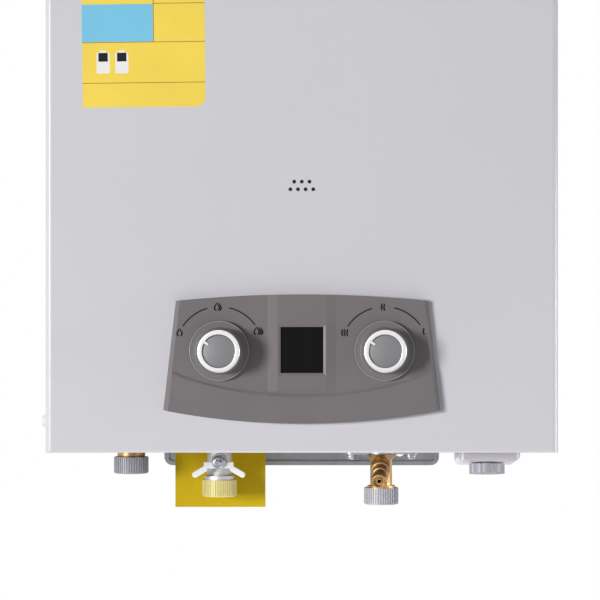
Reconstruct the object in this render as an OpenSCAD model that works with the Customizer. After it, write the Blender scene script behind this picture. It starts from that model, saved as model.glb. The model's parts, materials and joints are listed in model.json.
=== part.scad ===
// Wall-hung tankless gas water heater, in millimetres.
// The wall is the plane y = 0, the front faces -Y and +X is the right-hand side seen from the front.
// The origin is the middle of the four wall holes. Modules work with z = 0 at the casing's lower edge.

/* [Casing] */
// Width of the front cover
case_w = 330; // [316:1:370]
// Height of the front cover
case_h = 590; // [575:1:680]
// Depth from the wall to the front face
case_d = 180; // [176:1:220]
// Sheet thickness of the cover
sheet_t = 1; // [0.8:0.1:1.4]
// Outer radius of the two upright front edges
edge_r = 4.6; // [3:0.1:8]
// Outer radius of the top and bottom front edges
sill_r = 2; // [1.6:0.1:4]
// Width of the cover's turned-in bottom flange
cover_flange = 12; // [8:1:16]
// Gap between the cover's rear edge and the wall
wall_gap = 1; // [0.5:0.1:3]
// Clearance between the cover and the chassis inside it
cover_gap = 0.5; // [0.3:0.1:1]

/* [Casing openings] */
// Radius of each sight hole
sight_hole_r = 1.25; // [0.8:0.05:1.8]
// Distance between neighbouring sight holes
sight_pitch = 4.9; // [4.2:0.1:6]
// Height of the sight holes above the burner frame
sight_lift = 6.8; // [6:0.1:10]
// Length of a vent slot in the top
vent_l = 60; // [40:1:80]
// Width of a vent slot in the top
vent_w = 4; // [2:0.5:6]
// Distance between neighbouring vent slots
vent_pitch = 9; // [8:0.5:10]
// Distance of each group of vent slots from the middle
vent_x = 112; // [105:1:118]
// Vent slots in each group
vent_count = 5; // [1:2:5]

/* [Back plate] */
// Sheet thickness of the back plate and bottom plate
plate_t = 1; // [0.8:0.1:1.5]
// Depth of the back plate's turned-in edges
plate_flange = 14; // [12:1:20]
// Width of the lower fixing lip
lip_w = 196; // [180:1:240]
// How far the lower lip hangs below the casing
lip_drop = 19.7; // [18:0.1:26]
// Corner radius of the lower lip
lip_r = 6; // [4:0.5:10]
// Width of the folded rim round the lip
lip_rim_w = 3; // [2:0.1:3.5]
// Height of the folded rim
lip_rim_h = 2; // [1:0.1:3]
// Radius of the four wall holes
hole_r = 3.5; // [2.5:0.1:4]
// Sideways distance between the wall holes
hole_pitch_x = 140; // [136:1:160]
// Distance of the lower wall holes below the casing
hole_low = 10; // [8.5:0.1:11]
// Distance of the upper wall holes below the casing's top
hole_top = 20; // [15:1:30]
// Width of each pressed rib
rib_w = 12; // [8:1:16]
// Depth of each pressed rib
rib_h = 3; // [2:0.1:5]
// Distance of each rib from the middle
rib_x = 48; // [40:1:55]
// Distance of the ribs' ends from the casing's ends
rib_end = 70; // [60:1:120]

/* [Bottom plate] */
// Height of the bottom plate's underside
floor_z = 14; // [13:0.1:15]
// Height of the bottom plate's turned-up sides
floor_flange = 16; // [12:1:20]
// Length of an air slot
air_slot_l = 46; // [30:1:50]
// Width of an air slot
air_slot_w = 5; // [3:0.5:6]
// Distance between neighbouring air slots
air_slot_pitch = 11; // [9:0.5:12]
// Air slots in the row
air_slot_count = 23; // [1:2:23]
// Clearance round what passes through the bottom plate
pass_gap = 1; // [0.5:0.1:2]

/* [Fixings] */
// Head radius of a casing screw
screw_head_r = 3.5; // [3:0.1:4.5]
// Head height of a casing screw
screw_head_h = 2.2; // [1.5:0.1:3]
// Shank radius of a casing screw
screw_r = 1.8; // [1.4:0.1:2.2]
// Shank length of a casing screw
screw_l = 6; // [5:0.5:8]
// Radial clearance of a screw in its hole
screw_gap = 0.1; // [0.05:0.05:0.3]
// Distance of the side screws from the wall
screw_y = 8; // [6:0.5:9]
// Distance of the side screws from the casing's ends
screw_end = 60; // [45:1:90]
// Distance of the left side fixing behind the front face
side_fix_d = 23; // [18:0.5:30]
// Height of the left side fixing
side_fix_z = 19.5; // [18.5:0.1:22]
// Radius of the side fixing's white washer
side_washer_r = 5; // [4.5:0.1:6]
// Thickness of the white washer
side_washer_t = 2.2; // [1:0.1:3]

/* [Control panel] */
// How far the fascia stands out from the cover
fascia_h = 7; // [6:0.1:9]
// Height of the fascia's top edge in the middle
fascia_top = 101.8; // [100:0.1:106]
// Height of the fascia's bottom edge in the middle
fascia_bottom = 19; // [14:0.1:22]
// Radius of the fascia's curved top edge
fascia_top_r = 802; // [600:1:1200]
// Radius of the fascia's curved bottom edge
fascia_bottom_r = 465; // [400:1:700]
// Half width of the fascia at its bottom corners
fascia_half_w = 89; // [86:0.5:95]
// Lean of the fascia's sides from upright, in degrees
fascia_lean = 6.5; // [3:0.1:9]
// Slope of the fascia's side walls, in degrees
fascia_draft = 25; // [15:1:30]
// Wall thickness of the fascia
fascia_wall = 2.5; // [2:0.1:3]
// Depth of the two dial fields
field_depth = 1; // [0.5:0.1:1.4]
// Radius of the crease under the dial fields
crease_r = 243; // [200:1:300]
// Height of the crease in the middle
crease_z = 35.9; // [32:0.1:38]
// Half width of the raised middle strip
strip_half_w = 22; // [20:0.5:24]
// Width of the display window
window_w = 27.3; // [24:0.1:30]
// Height of the display window
window_h = 29.5; // [26:0.1:31]
// Height of the display window's middle
window_z = 66.2; // [64:0.1:68]
// Width of the step round the display window
window_step = 1.6; // [1:0.1:2]

/* [Knobs] */
// Distance of each knob from the middle
knob_x = 52.8; // [50:0.1:56]
// Height of the knobs' axes
knob_z = 65.7; // [65:0.1:70]
// Radius of a knob's skirt
skirt_r = 19.1; // [17:0.1:21]
// Radius of a knob's barrel at its front
barrel_r = 13.6; // [12:0.1:14.5]
// Height of a knob above its field
knob_h = 18; // [16:0.1:22]
// Height of the skirt's rim
skirt_h = 3.2; // [2.5:0.1:4]
// Width of the silver ring's face
ring_w = 3; // [2:0.1:4]
// Thickness of the silver ring
ring_t = 1.5; // [1:0.1:2]
// Gap between a knob and its field
knob_gap = 0.6; // [0.4:0.1:1]
// Radius of a knob's spindle
spindle_r = 4; // [3:0.1:4.5]
// Running clearance of a turning shaft
run_gap = 0.05; // [0.02:0.01:0.1]
// Direction of the pointers at rest, in degrees from the right
pointer_angle = 147; // [120:1:180]

/* [Pipe connections] */
// Distance of the pipe row behind the casing's front
pipe_in = 95; // [94:0.5:100]
// Distance of the hot outlet from the casing's left side
hot_in = 49; // [46:0.5:52]
// Distance of the gas inlet to the left of the middle
gas_x = 56; // [53:0.5:56]
// Distance of the cold inlet to the right of the middle
cold_x = 54; // [53:0.5:55]
// Radius of the half-inch pipe thread
thread_r = 10.48; // [10:0.01:10.6]
// Thread length on each connection
thread_l = 9.5; // [8:0.1:10]
// Bore radius of the connections
port_r = 5; // [4:0.1:5.5]
// Outer radius of the transport caps
cap_r = 11.75; // [11.65:0.05:13]
// Height of the transport caps
cap_h = 11.3; // [11.2:0.1:14]
// Clearance inside the transport caps
cap_gap = 0.3; // [0.2:0.05:0.4]
// Teeth round each cap
cap_teeth = 56; // [40:1:64]
// Depth of the teeth round each cap
cap_tooth = 0.35; // [0.2:0.05:0.4]
// Height where the hot outlet's thread starts
hot_thread_z = -8; // [-10:0.1:-6]
// Radius of the hot outlet's collar
hot_collar_r = 9.5; // [9:0.1:10]

/* [Gas cock] */
// Radius of the cock's body
cock_r = 8.25; // [8:0.05:9]
// Height of the handle's axis
cock_z = -11; // [-12:0.1:-10]
// Height where the gas thread starts
gas_thread_z = -23.6; // [-25:0.1:-23.2]
// Radius of the ball
ball_r = 6.9; // [6.5:0.05:7]
// Bore radius of the ball
ball_bore_r = 4.4; // [3.5:0.1:4.6]
// Radius of the cock's stem
stem_r = 2.5; // [2:0.05:2.8]
// Distance of the handle in front of the pipe's axis
handle_y = 14; // [13.5:0.1:16]
// Thickness of the handle
handle_t = 2.8; // [2:0.1:3.5]
// Length of the handle's straight bar
handle_bar_w = 20.4; // [18:0.1:22]
// Width of the handle's bar and wings
wing_w = 4.1; // [3.5:0.1:4.5]
// Sideways reach of the wing tips
wing_x = 16.2; // [15:0.1:17]
// Drop of the wing tips below the handle's axis
wing_drop = 8.5; // [5:0.1:9]
// Width of the tag card
tag_w = 62; // [50:1:64]
// Height of the tag card's lower edge
tag_bottom = -44.3; // [-50:0.1:-38]
// Thickness of the tag card
tag_t = 0.8; // [0.5:0.1:1.2]
// Distance of the hanging card behind the pipe's axis
tag_y = 20; // [18:0.5:26]

/* [Cold inlet] */
// Radius of the inlet's neck
inlet_r = 7.45; // [7:0.05:8]
// Height where the cold thread starts
cold_thread_z = -29; // [-31:0.1:-28]
// Width of the inlet's flange
flange_w = 51; // [50:0.5:54]
// Thickness of the inlet's flange
flange_t = 3; // [2:0.1:4]
// Height of the flange's top face
flange_z = -3.5; // [-4:0.1:-3]
// Distance of each flange screw from the inlet's axis
flange_screw_x = 20; // [18.5:0.1:20]
// Angle of the drain plug below level, in degrees
drain_dip = 18; // [12:1:24]
// Angle of the drain plug to the left, in degrees
drain_turn = 4; // [0:1:10]
// Height where the drain plug's axis crosses the inlet
drain_z = -12.5; // [-14:0.1:-12]
// Radius of the drain boss and base ring
drain_r = 6.4; // [6:0.05:6.8]
// Radius of the drain plug's nose
nose_r = 4.8; // [4:0.05:5.2]
// Length of the drain plug in front of its boss
drain_l = 22; // [18:0.5:26]
// Radius of the drain hole in the nose
drain_hole_r = 1; // [0.6:0.1:1.5]

/* [Battery compartment] */
// Distance of the compartment's middle from the casing's right side
battery_in = 41.4; // [38:0.1:42]
// Width of the compartment
battery_w = 41.2; // [40:0.1:41.6]
// Depth of the compartment from front to back
battery_d = 47; // [42:0.5:48]
// Distance of the compartment's front behind the casing's front
battery_front = 40; // [36:0.5:42]
// Wall thickness of the compartment
battery_wall = 1.8; // [1.4:0.1:2.2]
// Corner radius of the compartment
battery_corner_r = 5; // [3:0.1:6]
// Height of the lid's top rim
lid_top = 1; // [0.5:0.1:2]
// Height of the lid's lower front edge
lid_front_z = -7.6; // [-9:0.1:-7]
// Height of the lid's lower rear edge
lid_rear_z = -13.4; // [-15:0.1:-12]
// Radius of the lock knob
lock_r = 11.85; // [9:0.05:13]
// Height of the lock knob
lock_h = 6.5; // [5:0.1:8]
// Radius of the lock knob's neck
lock_neck_r = 4; // [3:0.1:5]
// Radius of a battery cell
cell_r = 16.6; // [15:0.1:16.8]
// Length of a battery cell
cell_l = 60; // [56:0.5:61]

/* [Burner and heat exchanger] */
// Space on each side of the combustion chamber
side_space = 65; // [64.5:0.5:72]
// Depth of the combustion chamber
chamber_d = 100; // [96:1:102]
// How far the chamber's middle stands in front of the pipe row
chamber_ahead = 5; // [3:0.5:7]
// Gap between the cold riser and the burner frame above it
burner_gap = 0.8; // [0.5:0.1:4]
// Height of the burner frame
burner_h = 45; // [43:0.5:46]
// Number of burner bars
bar_count = 10; // [6:1:10]
// Width of a burner bar
bar_w = 11; // [8:0.5:12]
// Height of the chamber and fin shell above the burner frame
chamber_h = 240; // [230:1:250]
// Wall thickness of the chamber and hood
chamber_t = 1; // [0.8:0.1:1.5]
// Height of the fins
fin_h = 50; // [40:1:54]
// Thickness of a fin
fin_t = 0.6; // [0.4:0.1:0.8]
// Number of fins
fin_count = 36; // [10:1:40]
// Outer radius of the water pipes
tube_r = 6.5; // [6:0.1:6.6]
// Wall thickness of the water pipes
tube_t = 1; // [0.7:0.1:1.2]
// Distance between neighbouring exchanger tubes
tube_pitch = 16; // [15.5:0.1:16.5]
// Clearance of a tube in its hole
tube_gap = 0.1; // [0.05:0.05:0.2]
// Height of the draft hood
hood_h = 85; // [70:1:90]
// Outer radius of the flue spigot
flue_r = 54.5; // [50:0.5:55]
// Wall thickness of the flue spigot
flue_t = 1; // [0.8:0.1:1.5]
// Length of the flue spigot above its flange
flue_l = 35; // [25:1:50]
// Width of the flue collar's flange
flue_flange_w = 12; // [11:0.5:16]

/* [Hidden] */
$fn = 48;

// Small overshoot that lets a cut run clear of a face
cut = 1;
// Face of the wall hole pattern's middle above the casing's lower edge
pattern_z = (case_h - hole_top - hole_low) / 2;
// Outer front face of the cover, and its inner face
front_y = -case_d;
inner_front_y = front_y + sheet_t;
// Outer half width of the back plate inside the cover
chassis_half_w = case_w / 2 - sheet_t - cover_gap;
// Distances of the pipe row, the air slots and the combustion chamber's middle from the wall
pipe_y = case_d - pipe_in;
air_slot_y = pipe_y * 0.4;
chamber_y = pipe_y + chamber_ahead;
// Distance of the hot outlet to the left of the middle
hot_x = case_w / 2 - hot_in;
// Top of the bottom plate
floor_top = floor_z + plate_t;
// Half width of the bottom plate, between the back plate's turned-in sides
floor_half_w = chassis_half_w - plate_t;
// Front edge of the bottom plate, clear of the cover's rounded corners
floor_front_y = inner_front_y + edge_r;

// Surface of the dial fields, in front of the cover
field_h = fascia_h - field_depth;
// Inside of the fascia's front wall
fascia_inside_h = fascia_h - fascia_wall;
// Thickness of the display module, its board and its margin round the window
display_back_gap = 0.5;
display_t = fascia_inside_h - display_back_gap;
board_t = 1.6;
board_margin = 6.5;
display_hole_gap = 2;
display_hole_margin = board_margin + display_hole_gap;
display_margin = 2;
post_r = 2;
lens_sink = 0.6;
lens_gap = 0.1;
step_depth = 0.5;
strip_step = 4;
// Rise of the fascia's bottom corners above the middle of its bottom edge
corner_rise = 8.6;

// Radius and depth of the knob's parts
ring_in_r = barrel_r - ring_w;
knob_socket_h = 12;
barrel_flare = 1;
barrel_foot_r = barrel_r + barrel_flare;
skirt_lip_w = 0.8;
skirt_sink = 0.6;
cone_rise = 2.3;
cone_top_h = skirt_h + cone_rise;
disc_sink = 1;
pointer_w = 2.2;
pointer_l = 3.4;
spindle_hole_gap = 1;
cover_spindle_gap = 8;

// Water valve, on an axis that runs along X through the pipe row
valve_r = 35;
valve_chamber_r = 24;
valve_left = 14;
valve_right = 12;
valve_cover_t = 13;
valve_plane_x = cold_x - valve_left;
diaphragm_t = 1.5;
valve_body_x0 = valve_plane_x + diaphragm_t / 2;
valve_body_x1 = cold_x + valve_right;
valve_cover_x1 = valve_plane_x - diaphragm_t / 2;
valve_cover_x0 = valve_cover_x1 - valve_cover_t;
valve_wall = 6;
valve_boss_r = 8;
valve_boss_l = 12;
valve_screw_ring_r = 31;
valve_screw_r = 2;
outlet_rim = 2;
outlet_top_z = knob_z + valve_r + outlet_rim;
outlet_boss_r = 9;
outlet_back = 7;
outlet_y = pipe_y - outlet_back;
inlet_boss_r = 12;
leg_r = 5;
saddle_lift = 2;
saddle_z0 = floor_top + saddle_lift;
saddle_h = 6;
saddle_d = 20;
valve_screw_l = 24;
valve_screw_hole_l = 30;
guide_wall = 3.5;
water_spindle_y = -pipe_y - valve_chamber_r - guide_wall;

// Push rod between the water valve and the gas valve
rod_r = 2;
rod_plate_r = 20;
rod_plate_t = 2;
rod_end_in = 2;
rod_hole_l = 10;
rod_gap = 0.3;
rod_collar_r = 3.6;
rod_collar_t = 2;
rod_end_gap = 0.5;

// Microswitch and its lever
switch_l = 20;
switch_d = 6.4;
switch_h = 10;
switch_x1 = 11;
lever_x = -1;
lever_lift = 10;
lever_z = knob_z + lever_lift;
lever_t = 0.8;
lever_w = 4.6;
lever_l = 7.6;
lever_tail = 1;
lever_pin_r = 0.8;
ear_t = 1;
ear_gap = 0.2;
ear_half_w = 2;
switch_lift = 2.3;
switch_z0 = lever_z + switch_lift;
arm_h = 8;
arm_lift = 1;

// Gas valve block above the gas inlet
block_w = 60;
block_d = 54;
block_z0 = 30;
block_h = 68;
block_boss_r = 9;
block_boss_l = 14;
block_socket = 8;
block_front_y = -pipe_y - block_d / 2;
solenoid_r = 11;
solenoid_l = 26;
gas_pipe_r = 6;
gas_pipe_t = 1;
gas_bend_r = 8;
gas_stub = 4;
gas_guide_l = 10;
gas_spindle_y = block_front_y + gas_guide_l;
solenoid_lift = 14;

// Burner and manifold
bend_r = 10;
riser_turn_z = outlet_top_z + bend_r;
burner_z = riser_turn_z + tube_r + burner_gap;
chamber_w = case_w - 2 * side_space;
chamber_x = chamber_w / 2;
chamber_front_y = -chamber_y - chamber_d / 2;
chamber_back_y = -chamber_y + chamber_d / 2;
chamber_z = burner_z + burner_h;
chamber_top_z = chamber_z + chamber_h;
sight_z = chamber_z + sight_lift;
burner_wall = 1.2;
bar_end_space = 8;
bar_pitch = (chamber_w - 2 * bar_w - 2 * bar_end_space) / (bar_count - 1);
bar_base_gap = 2;
bar_top_gap = 5;
bar_h = burner_h - bar_base_gap - bar_top_gap;
bar_slot_count = 12;
bar_slot_w = 3;
bar_slot_depth = 3;
mouth_r = 4;
mouth_lift = 15;
mouth_z = burner_z + mouth_lift;
manifold_gap = 10;
manifold_d = 12;
manifold_h = 14;
manifold_end_gap = 4;
manifold_x = chamber_x - manifold_end_gap;
manifold_wall = 1.5;
bracket_t = 1.5;
injector_r = 2.5;
injector_l = 7;
jet_r = 0.5;
foot_w = 16;
foot_h = 4;

// Electrodes through the chamber's front wall
electrode_x = 30;
electrode_lift = 5;
electrode_z = chamber_z + electrode_lift;
ceramic_r = 3;
ceramic_front = 18;
ceramic_back = 8;
electrode_flange_r = 6;
electrode_flange_t = 2;
tip_r = 0.8;
tip_l = 22;
sight_port_w = 24;
sight_port_h = 10;
glass_w = 28;
glass_h = 18;
glass_t = 1.2;

// Heat exchanger
fin_gap = 0.3;
fin_top_gap = 5;
fin_z0 = chamber_top_z - fin_h - fin_top_gap;
tube_z = fin_z0 + fin_h / 2;
tube_count = 5;
first_tube_y = -chamber_y - 2 * tube_pitch;
last_tube_y = -chamber_y + 2 * tube_pitch;
fin_end_space = 6;
fin_pitch = (chamber_w - 2 * chamber_t - 2 * fin_end_space) / (fin_count - 1);
turn_out = 12;
tube_out = 6;
turn_x = chamber_x + turn_out;
tube_end_x = chamber_x + tube_out;
coil_gap = 1.6;
coil_front_y = chamber_front_y - tube_r - coil_gap;
coil_back_y = chamber_back_y + tube_r + coil_gap;
coil_left_x = -chamber_x - tube_r - coil_gap;
coil_out = 12;
coil_lift = 97;
coil_climb = 38;
coil_climb_x = 20;
coil_start = 22;
riser_out = 30;
hot_run_out = 40;
hot_turn_drop = 15;
hot_pipe_lift = 12;
coil_right_x = tube_end_x + coil_out;
coil_z1 = chamber_z + coil_lift;
coil_z2 = coil_z1 + coil_climb;
riser_x = chamber_x + riser_out;
riser_top_z = coil_z1 - coil_start;
hot_run_x = -chamber_x - hot_run_out;
hot_turn_z = burner_z - hot_turn_drop;
hot_pipe_end_z = floor_top + hot_pipe_lift;

// Hood and flue
hood_margin = 6;
hood_box_h = 20;
hood_rim = 4;
hood_top_half_w = flue_r + hood_rim;
hood_top_z = chamber_top_z + hood_h;
hood_half_d = max(chamber_d / 2 + hood_margin, flue_r + hood_rim / 2);
flue_hole_gap = 1.5;
flue_flange_t = 2;
flue_screw_ring_r = flue_r + flue_flange_w * 0.55;
thermostat_r = 8;
thermostat_t = 6;
overheat_lift = 60;
overheat_z = coil_z1 + overheat_lift;
draft_sensor_x = 40;

// Pipe connections
hot_hex_r = 13.5;
hot_hex_h = 8;
hot_stub_r = 9;
hot_stub_h = 10;
cap_end_t = 1.6;
cock_hex_r = 11;
cock_hex_z0 = -3;
cock_hex_h = 4.4;
cock_groove = 1;
cock_groove_h = 1.2;
cock_collar_h = 2.6;
cock_boss_r = 5.5;
cock_boss_l = 11.5;
ball_gap = 0.1;
stem_seat = 6;
hub_r = 5;
bar_drop = 2.2;
arm_step = 0.2;
handle_screw_r = 4.5;
handle_screw_h = 3;
handle_screw_shank_r = 1.6;
handle_screw_l = 7;
tag_hole_gap = 0.5;
tag_front = 11.5;
flange_d = 21;
inlet_collar_r = 10;
shoulder_r = 10.8;
shoulder_h = 4.1;
shoulder_z = flange_z - flange_t;
inlet_spigot_l = 8;
flare_r = 9.4;
flare_h = 1.2;
washer_r = 4.4;
washer_t = 0.8;
drain_boss_l = 12;
drain_bore_r = 3;
drain_gap = 0.3;
drain_ring_t = 2.6;
drain_neck_r = 5.4;
drain_shank_l = 6;
nose_l = 7;

// Battery compartment
battery_x = case_w / 2 - battery_in;
battery_y0 = front_y + battery_front;
battery_y1 = battery_y0 + battery_d;
battery_mid_y = battery_y0 + battery_d / 2;
lid_gap = 0.5;
box_bottom_z = lid_top + lid_gap;
box_flange = 3;
box_flange_t = 1.5;
lid_slope = atan((lid_front_z - lid_rear_z) / battery_d);
lid_mid_z = (lid_front_z + lid_rear_z) / 2;
hinge_r = 2;
lid_edge_r = 4;
hinge_pin_r = 1;
hinge_gap = 0.4;
hinge_y = battery_y1 + hinge_r + hinge_gap;
hinge_z = lid_top + hinge_gap / 2;
knuckle_l = 8;
knuckle_gap = 0.3;
lock_gap = 0.8;
lock_clip_r = 6;
lock_clip_t = 1;
clip_gap = 0.3;
lock_lobes = 10;
lock_lobe_r = 2.2;
lock_lobe_depth = 0.7;
spring_plate_t = 0.6;
spring_plate_d = 12;
spring_r = 9;
spring_tip_r = 5;
ledge_w = 3;
ledge_x = battery_w / 2 - battery_wall - ledge_w / 2;
spring_h = 5.5;
cell_z = lid_top + spring_h;
cell_nub_r = 4.5;
cell_nub_h = 1.5;
contact_gap = 0.3;
box_top_z = cell_z + 2 * (cell_l + cell_nub_h) + battery_wall;

// Ignition controller on the back plate
controller_w = 60;
controller_d = 28;
controller_h = 84;
controller_margin = 6.5;
controller_lift = 10;
controller_x = floor_half_w - controller_margin - controller_w / 2;
controller_z = floor_top + controller_lift;
lug_w = 8;
lug_t = 2;
lug_hole_r = 2;

function unit(v) = v / norm(v);
function square_to(d) = abs(d.z) < 0.9 ? unit(cross([0, 0, 1], d)) : [1, 0, 0];
function axes_at(x, y, z, p) = [
  [x.x, y.x, z.x, p.x], [x.y, y.y, z.y, p.y], [x.z, y.z, z.z, p.z], [0, 0, 0, 1]
];

// Shapes that several pieces share

module placed() translate([0, 0, -pattern_z]) children();

// Local +Z points out of the front, local X to the right and local Y up
module facing_front(x, y, z) translate([x, y, z]) rotate([90, 0, 0]) children();

// Local +Z points to the right
module facing_right(x, y, z) translate([x, y, z]) rotate([0, 90, 0]) children();

module tube(r, bore_r, h) {
  difference() {
    cylinder(r = r, h = h);
    translate([0, 0, -cut]) cylinder(r = bore_r, h = h + 2 * cut);
  }
}

module rounded_rect(w, d, r) {
  square([w - 2 * r, d], center = true);
  square([w, d - 2 * r], center = true);
  for (sx = [-1, 1], sy = [-1, 1]) {
    translate([sx * (w / 2 - r), sy * (d / 2 - r)]) circle(r);
  }
}

module stadium(a, b, w) {
  run = b - a;
  translate(a) circle(w / 2);
  translate(b) circle(w / 2);
  translate(a) rotate(atan2(run.y, run.x)) translate([0, -w / 2]) square([norm(run), w]);
}

// A straight length of round bar from a point along a direction
module rod(p, d, l, r) {
  x = square_to(d);
  multmatrix(axes_at(x, cross(d, x), d, p)) cylinder(r = r, h = l);
}

// A quarter bend between two directions that meet at a corner
module elbow(corner, d1, d2, r, turn_r) {
  centre = corner - d1 * turn_r + d2 * turn_r;
  multmatrix(axes_at(-d2, d1, cross(-d2, d1), centre)) {
    rotate_extrude(angle = 90) translate([turn_r, 0]) circle(r);
  }
}

// A round bar that follows square corners, with a bend at each
module bar_run(points, r, turn_r) {
  last = len(points) - 1;
  for (i = [0 : last - 1]) {
    d = unit(points[i + 1] - points[i]);
    trim0 = i == 0 ? 0 : turn_r;
    trim1 = i == last - 1 ? 0 : turn_r;
    l = norm(points[i + 1] - points[i]) - trim0 - trim1;
    if (l > 0.001) rod(points[i] + d * trim0, d, l, r);
    if (i > 0) elbow(points[i], unit(points[i] - points[i - 1]), d, r, turn_r);
  }
}

module pipe_run(points, r, wall, turn_r) {
  difference() {
    bar_run(points, r, turn_r);
    bar_run(points, r - wall, turn_r);
  }
}

// Casing

module box_from_above(w, y0, y1, h, r) {
  linear_extrude(h) {
    translate([-w / 2, y0 + r]) square([w, y1 - y0 - r]);
    translate([-w / 2 + r, y0]) square([w - 2 * r, r]);
    for (s = [-1, 1]) translate([s * (w / 2 - r), y0 + r]) circle(r);
  }
}

module box_from_side(w, y0, y1, h, r) {
  translate([-w / 2, 0, 0]) rotate([90, 0, 90]) linear_extrude(w) {
    translate([y0 + r, 0]) square([y1 - y0 - r, h]);
    translate([y0, r]) square([r, h - 2 * r]);
    for (z = [r, h - r]) translate([y0 + r, z]) circle(r);
  }
}

module cover_block(w, y0, y1, h, side_r, end_r) {
  intersection() {
    box_from_above(w, y0, y1, h, side_r);
    box_from_side(w, y0, y1, h, end_r);
  }
}

module sight_holes() {
  row_gap = sight_pitch;
  for (row = [0, 1], i = [0 : 2 + row]) {
    x = (i - (2 + row) / 2) * sight_pitch;
    z = sight_z + row_gap * (0.5 - row);
    facing_front(x, inner_front_y + cut, z) cylinder(r = sight_hole_r, h = sheet_t + 2 * cut);
  }
}

module vent_slots() {
  for (s = [-1, 1], i = [0 : vent_count - 1]) {
    x = s * vent_x + (i - (vent_count - 1) / 2) * vent_pitch;
    translate([x, -chamber_y, case_h - sheet_t - cut]) linear_extrude(sheet_t + 2 * cut) {
      stadium([0, -vent_l / 2], [0, vent_l / 2], vent_w);
    }
  }
}

// Places of the four screws that hold the cover's sides, each with local +Z pointing out
module at_side_screws() {
  for (s = [-1, 1], z = [screw_end, case_h - screw_end]) {
    translate([s * case_w / 2, -screw_y, z]) rotate([0, s * 90, 0]) children();
  }
}

// Places of the four screws that hold the flue collar
module at_flue_screws() {
  for (a = [45 : 90 : 315]) {
    translate([0, -chamber_y, case_h + flue_flange_t]) rotate(a) {
      translate([flue_screw_ring_r, 0, 0]) children();
    }
  }
}

module at_side_fixing() {
  translate([-case_w / 2, front_y + side_fix_d, side_fix_z]) rotate([0, -90, 0]) children();
}

module screw_hole(l) translate([0, 0, -l]) cylinder(r = screw_r + screw_gap, h = l + cut);

module front_cover() color([0.81, 0.81, 0.83]) placed() difference() {
  cover_block(case_w, front_y, -wall_gap, case_h, edge_r, sill_r);
  translate([0, 0, sheet_t]) {
    inner_h = case_h - 2 * sheet_t;
    cover_block(case_w - 2 * sheet_t, inner_front_y, cut, inner_h, edge_r - sheet_t, sill_r - sheet_t);
  }
  translate([-case_w / 2 + cover_flange, front_y + cover_flange, -cut]) {
    cube([case_w - 2 * cover_flange, case_d, sheet_t + 2 * cut]);
  }
  translate([0, -chamber_y, case_h - sheet_t - cut]) {
    cylinder(r = flue_r + flue_hole_gap, h = sheet_t + 2 * cut);
  }
  for (s = [-1, 1]) {
    facing_front(s * knob_x, inner_front_y + cut, knob_z) {
      cylinder(r = spindle_r + cover_spindle_gap, h = sheet_t + 2 * cut);
    }
  }
  facing_front(0, inner_front_y + cut, window_z) linear_extrude(sheet_t + 2 * cut) {
    square([window_w + 2 * display_hole_margin, window_h + 2 * display_hole_margin], center = true);
  }
  sight_holes();
  vent_slots();
  at_side_screws() screw_hole(screw_l);
  at_flue_screws() screw_hole(screw_l);
  at_side_fixing() screw_hole(screw_l);
}

module pressed_rib(x) {
  translate([x - rib_w / 2, -plate_t - rib_h, rib_end]) cube([rib_w, rib_h, case_h - 2 * rib_end]);
}

module rib_groove(x) {
  translate([x - rib_w / 2 + plate_t, -rib_h, rib_end + plate_t]) {
    cube([rib_w - 2 * plate_t, rib_h + cut, case_h - 2 * (rib_end + plate_t)]);
  }
}

// Outline of the lower lip seen from the front, with its upper edge inside the panel
module lip_outline(inset) {
  w = lip_w - 2 * inset;
  r = lip_r - min(inset, lip_r - cut);
  low = -lip_drop + inset;
  translate([-w / 2, low + r]) square([w, sheet_t + cover_gap - low - r]);
  translate([-w / 2 + r, low]) square([w - 2 * r, r]);
  for (s = [-1, 1]) translate([s * (w / 2 - r), low + r]) circle(r);
}

module back_plate() color([0.6, 0.61, 0.62]) placed() difference() {
  panel_z0 = sheet_t + cover_gap;
  panel_h = case_h - 2 * panel_z0;
  union() {
    translate([-chassis_half_w, -plate_t, panel_z0]) cube([2 * chassis_half_w, plate_t, panel_h]);
    for (x = [-chassis_half_w, chassis_half_w - plate_t]) {
      translate([x, -plate_flange, panel_z0]) cube([plate_t, plate_flange, panel_h]);
    }
    translate([-chassis_half_w, -plate_flange, case_h - panel_z0 - plate_t]) {
      cube([2 * chassis_half_w, plate_flange, plate_t]);
    }
    facing_front(0, 0, 0) linear_extrude(plate_t) lip_outline(0);
    facing_front(0, -plate_t, 0) linear_extrude(lip_rim_h) difference() {
      lip_outline(0);
      translate([0, lip_rim_w]) lip_outline(lip_rim_w);
      lip_outline(lip_rim_w);
    }
    for (s = [-1, 1]) pressed_rib(s * rib_x);
  }
  for (s = [-1, 1]) rib_groove(s * rib_x);
  for (s = [-1, 1], z = [-hole_low, case_h - hole_top]) {
    facing_front(s * hole_pitch_x / 2, cut, z) cylinder(r = hole_r, h = plate_t + 2 * cut);
  }
  at_side_screws() screw_hole(screw_l);
}

module battery_cutout(gap) {
  translate([battery_x, battery_mid_y]) {
    rounded_rect(battery_w + 2 * gap, battery_d + 2 * gap, battery_corner_r + gap);
  }
}

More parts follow.
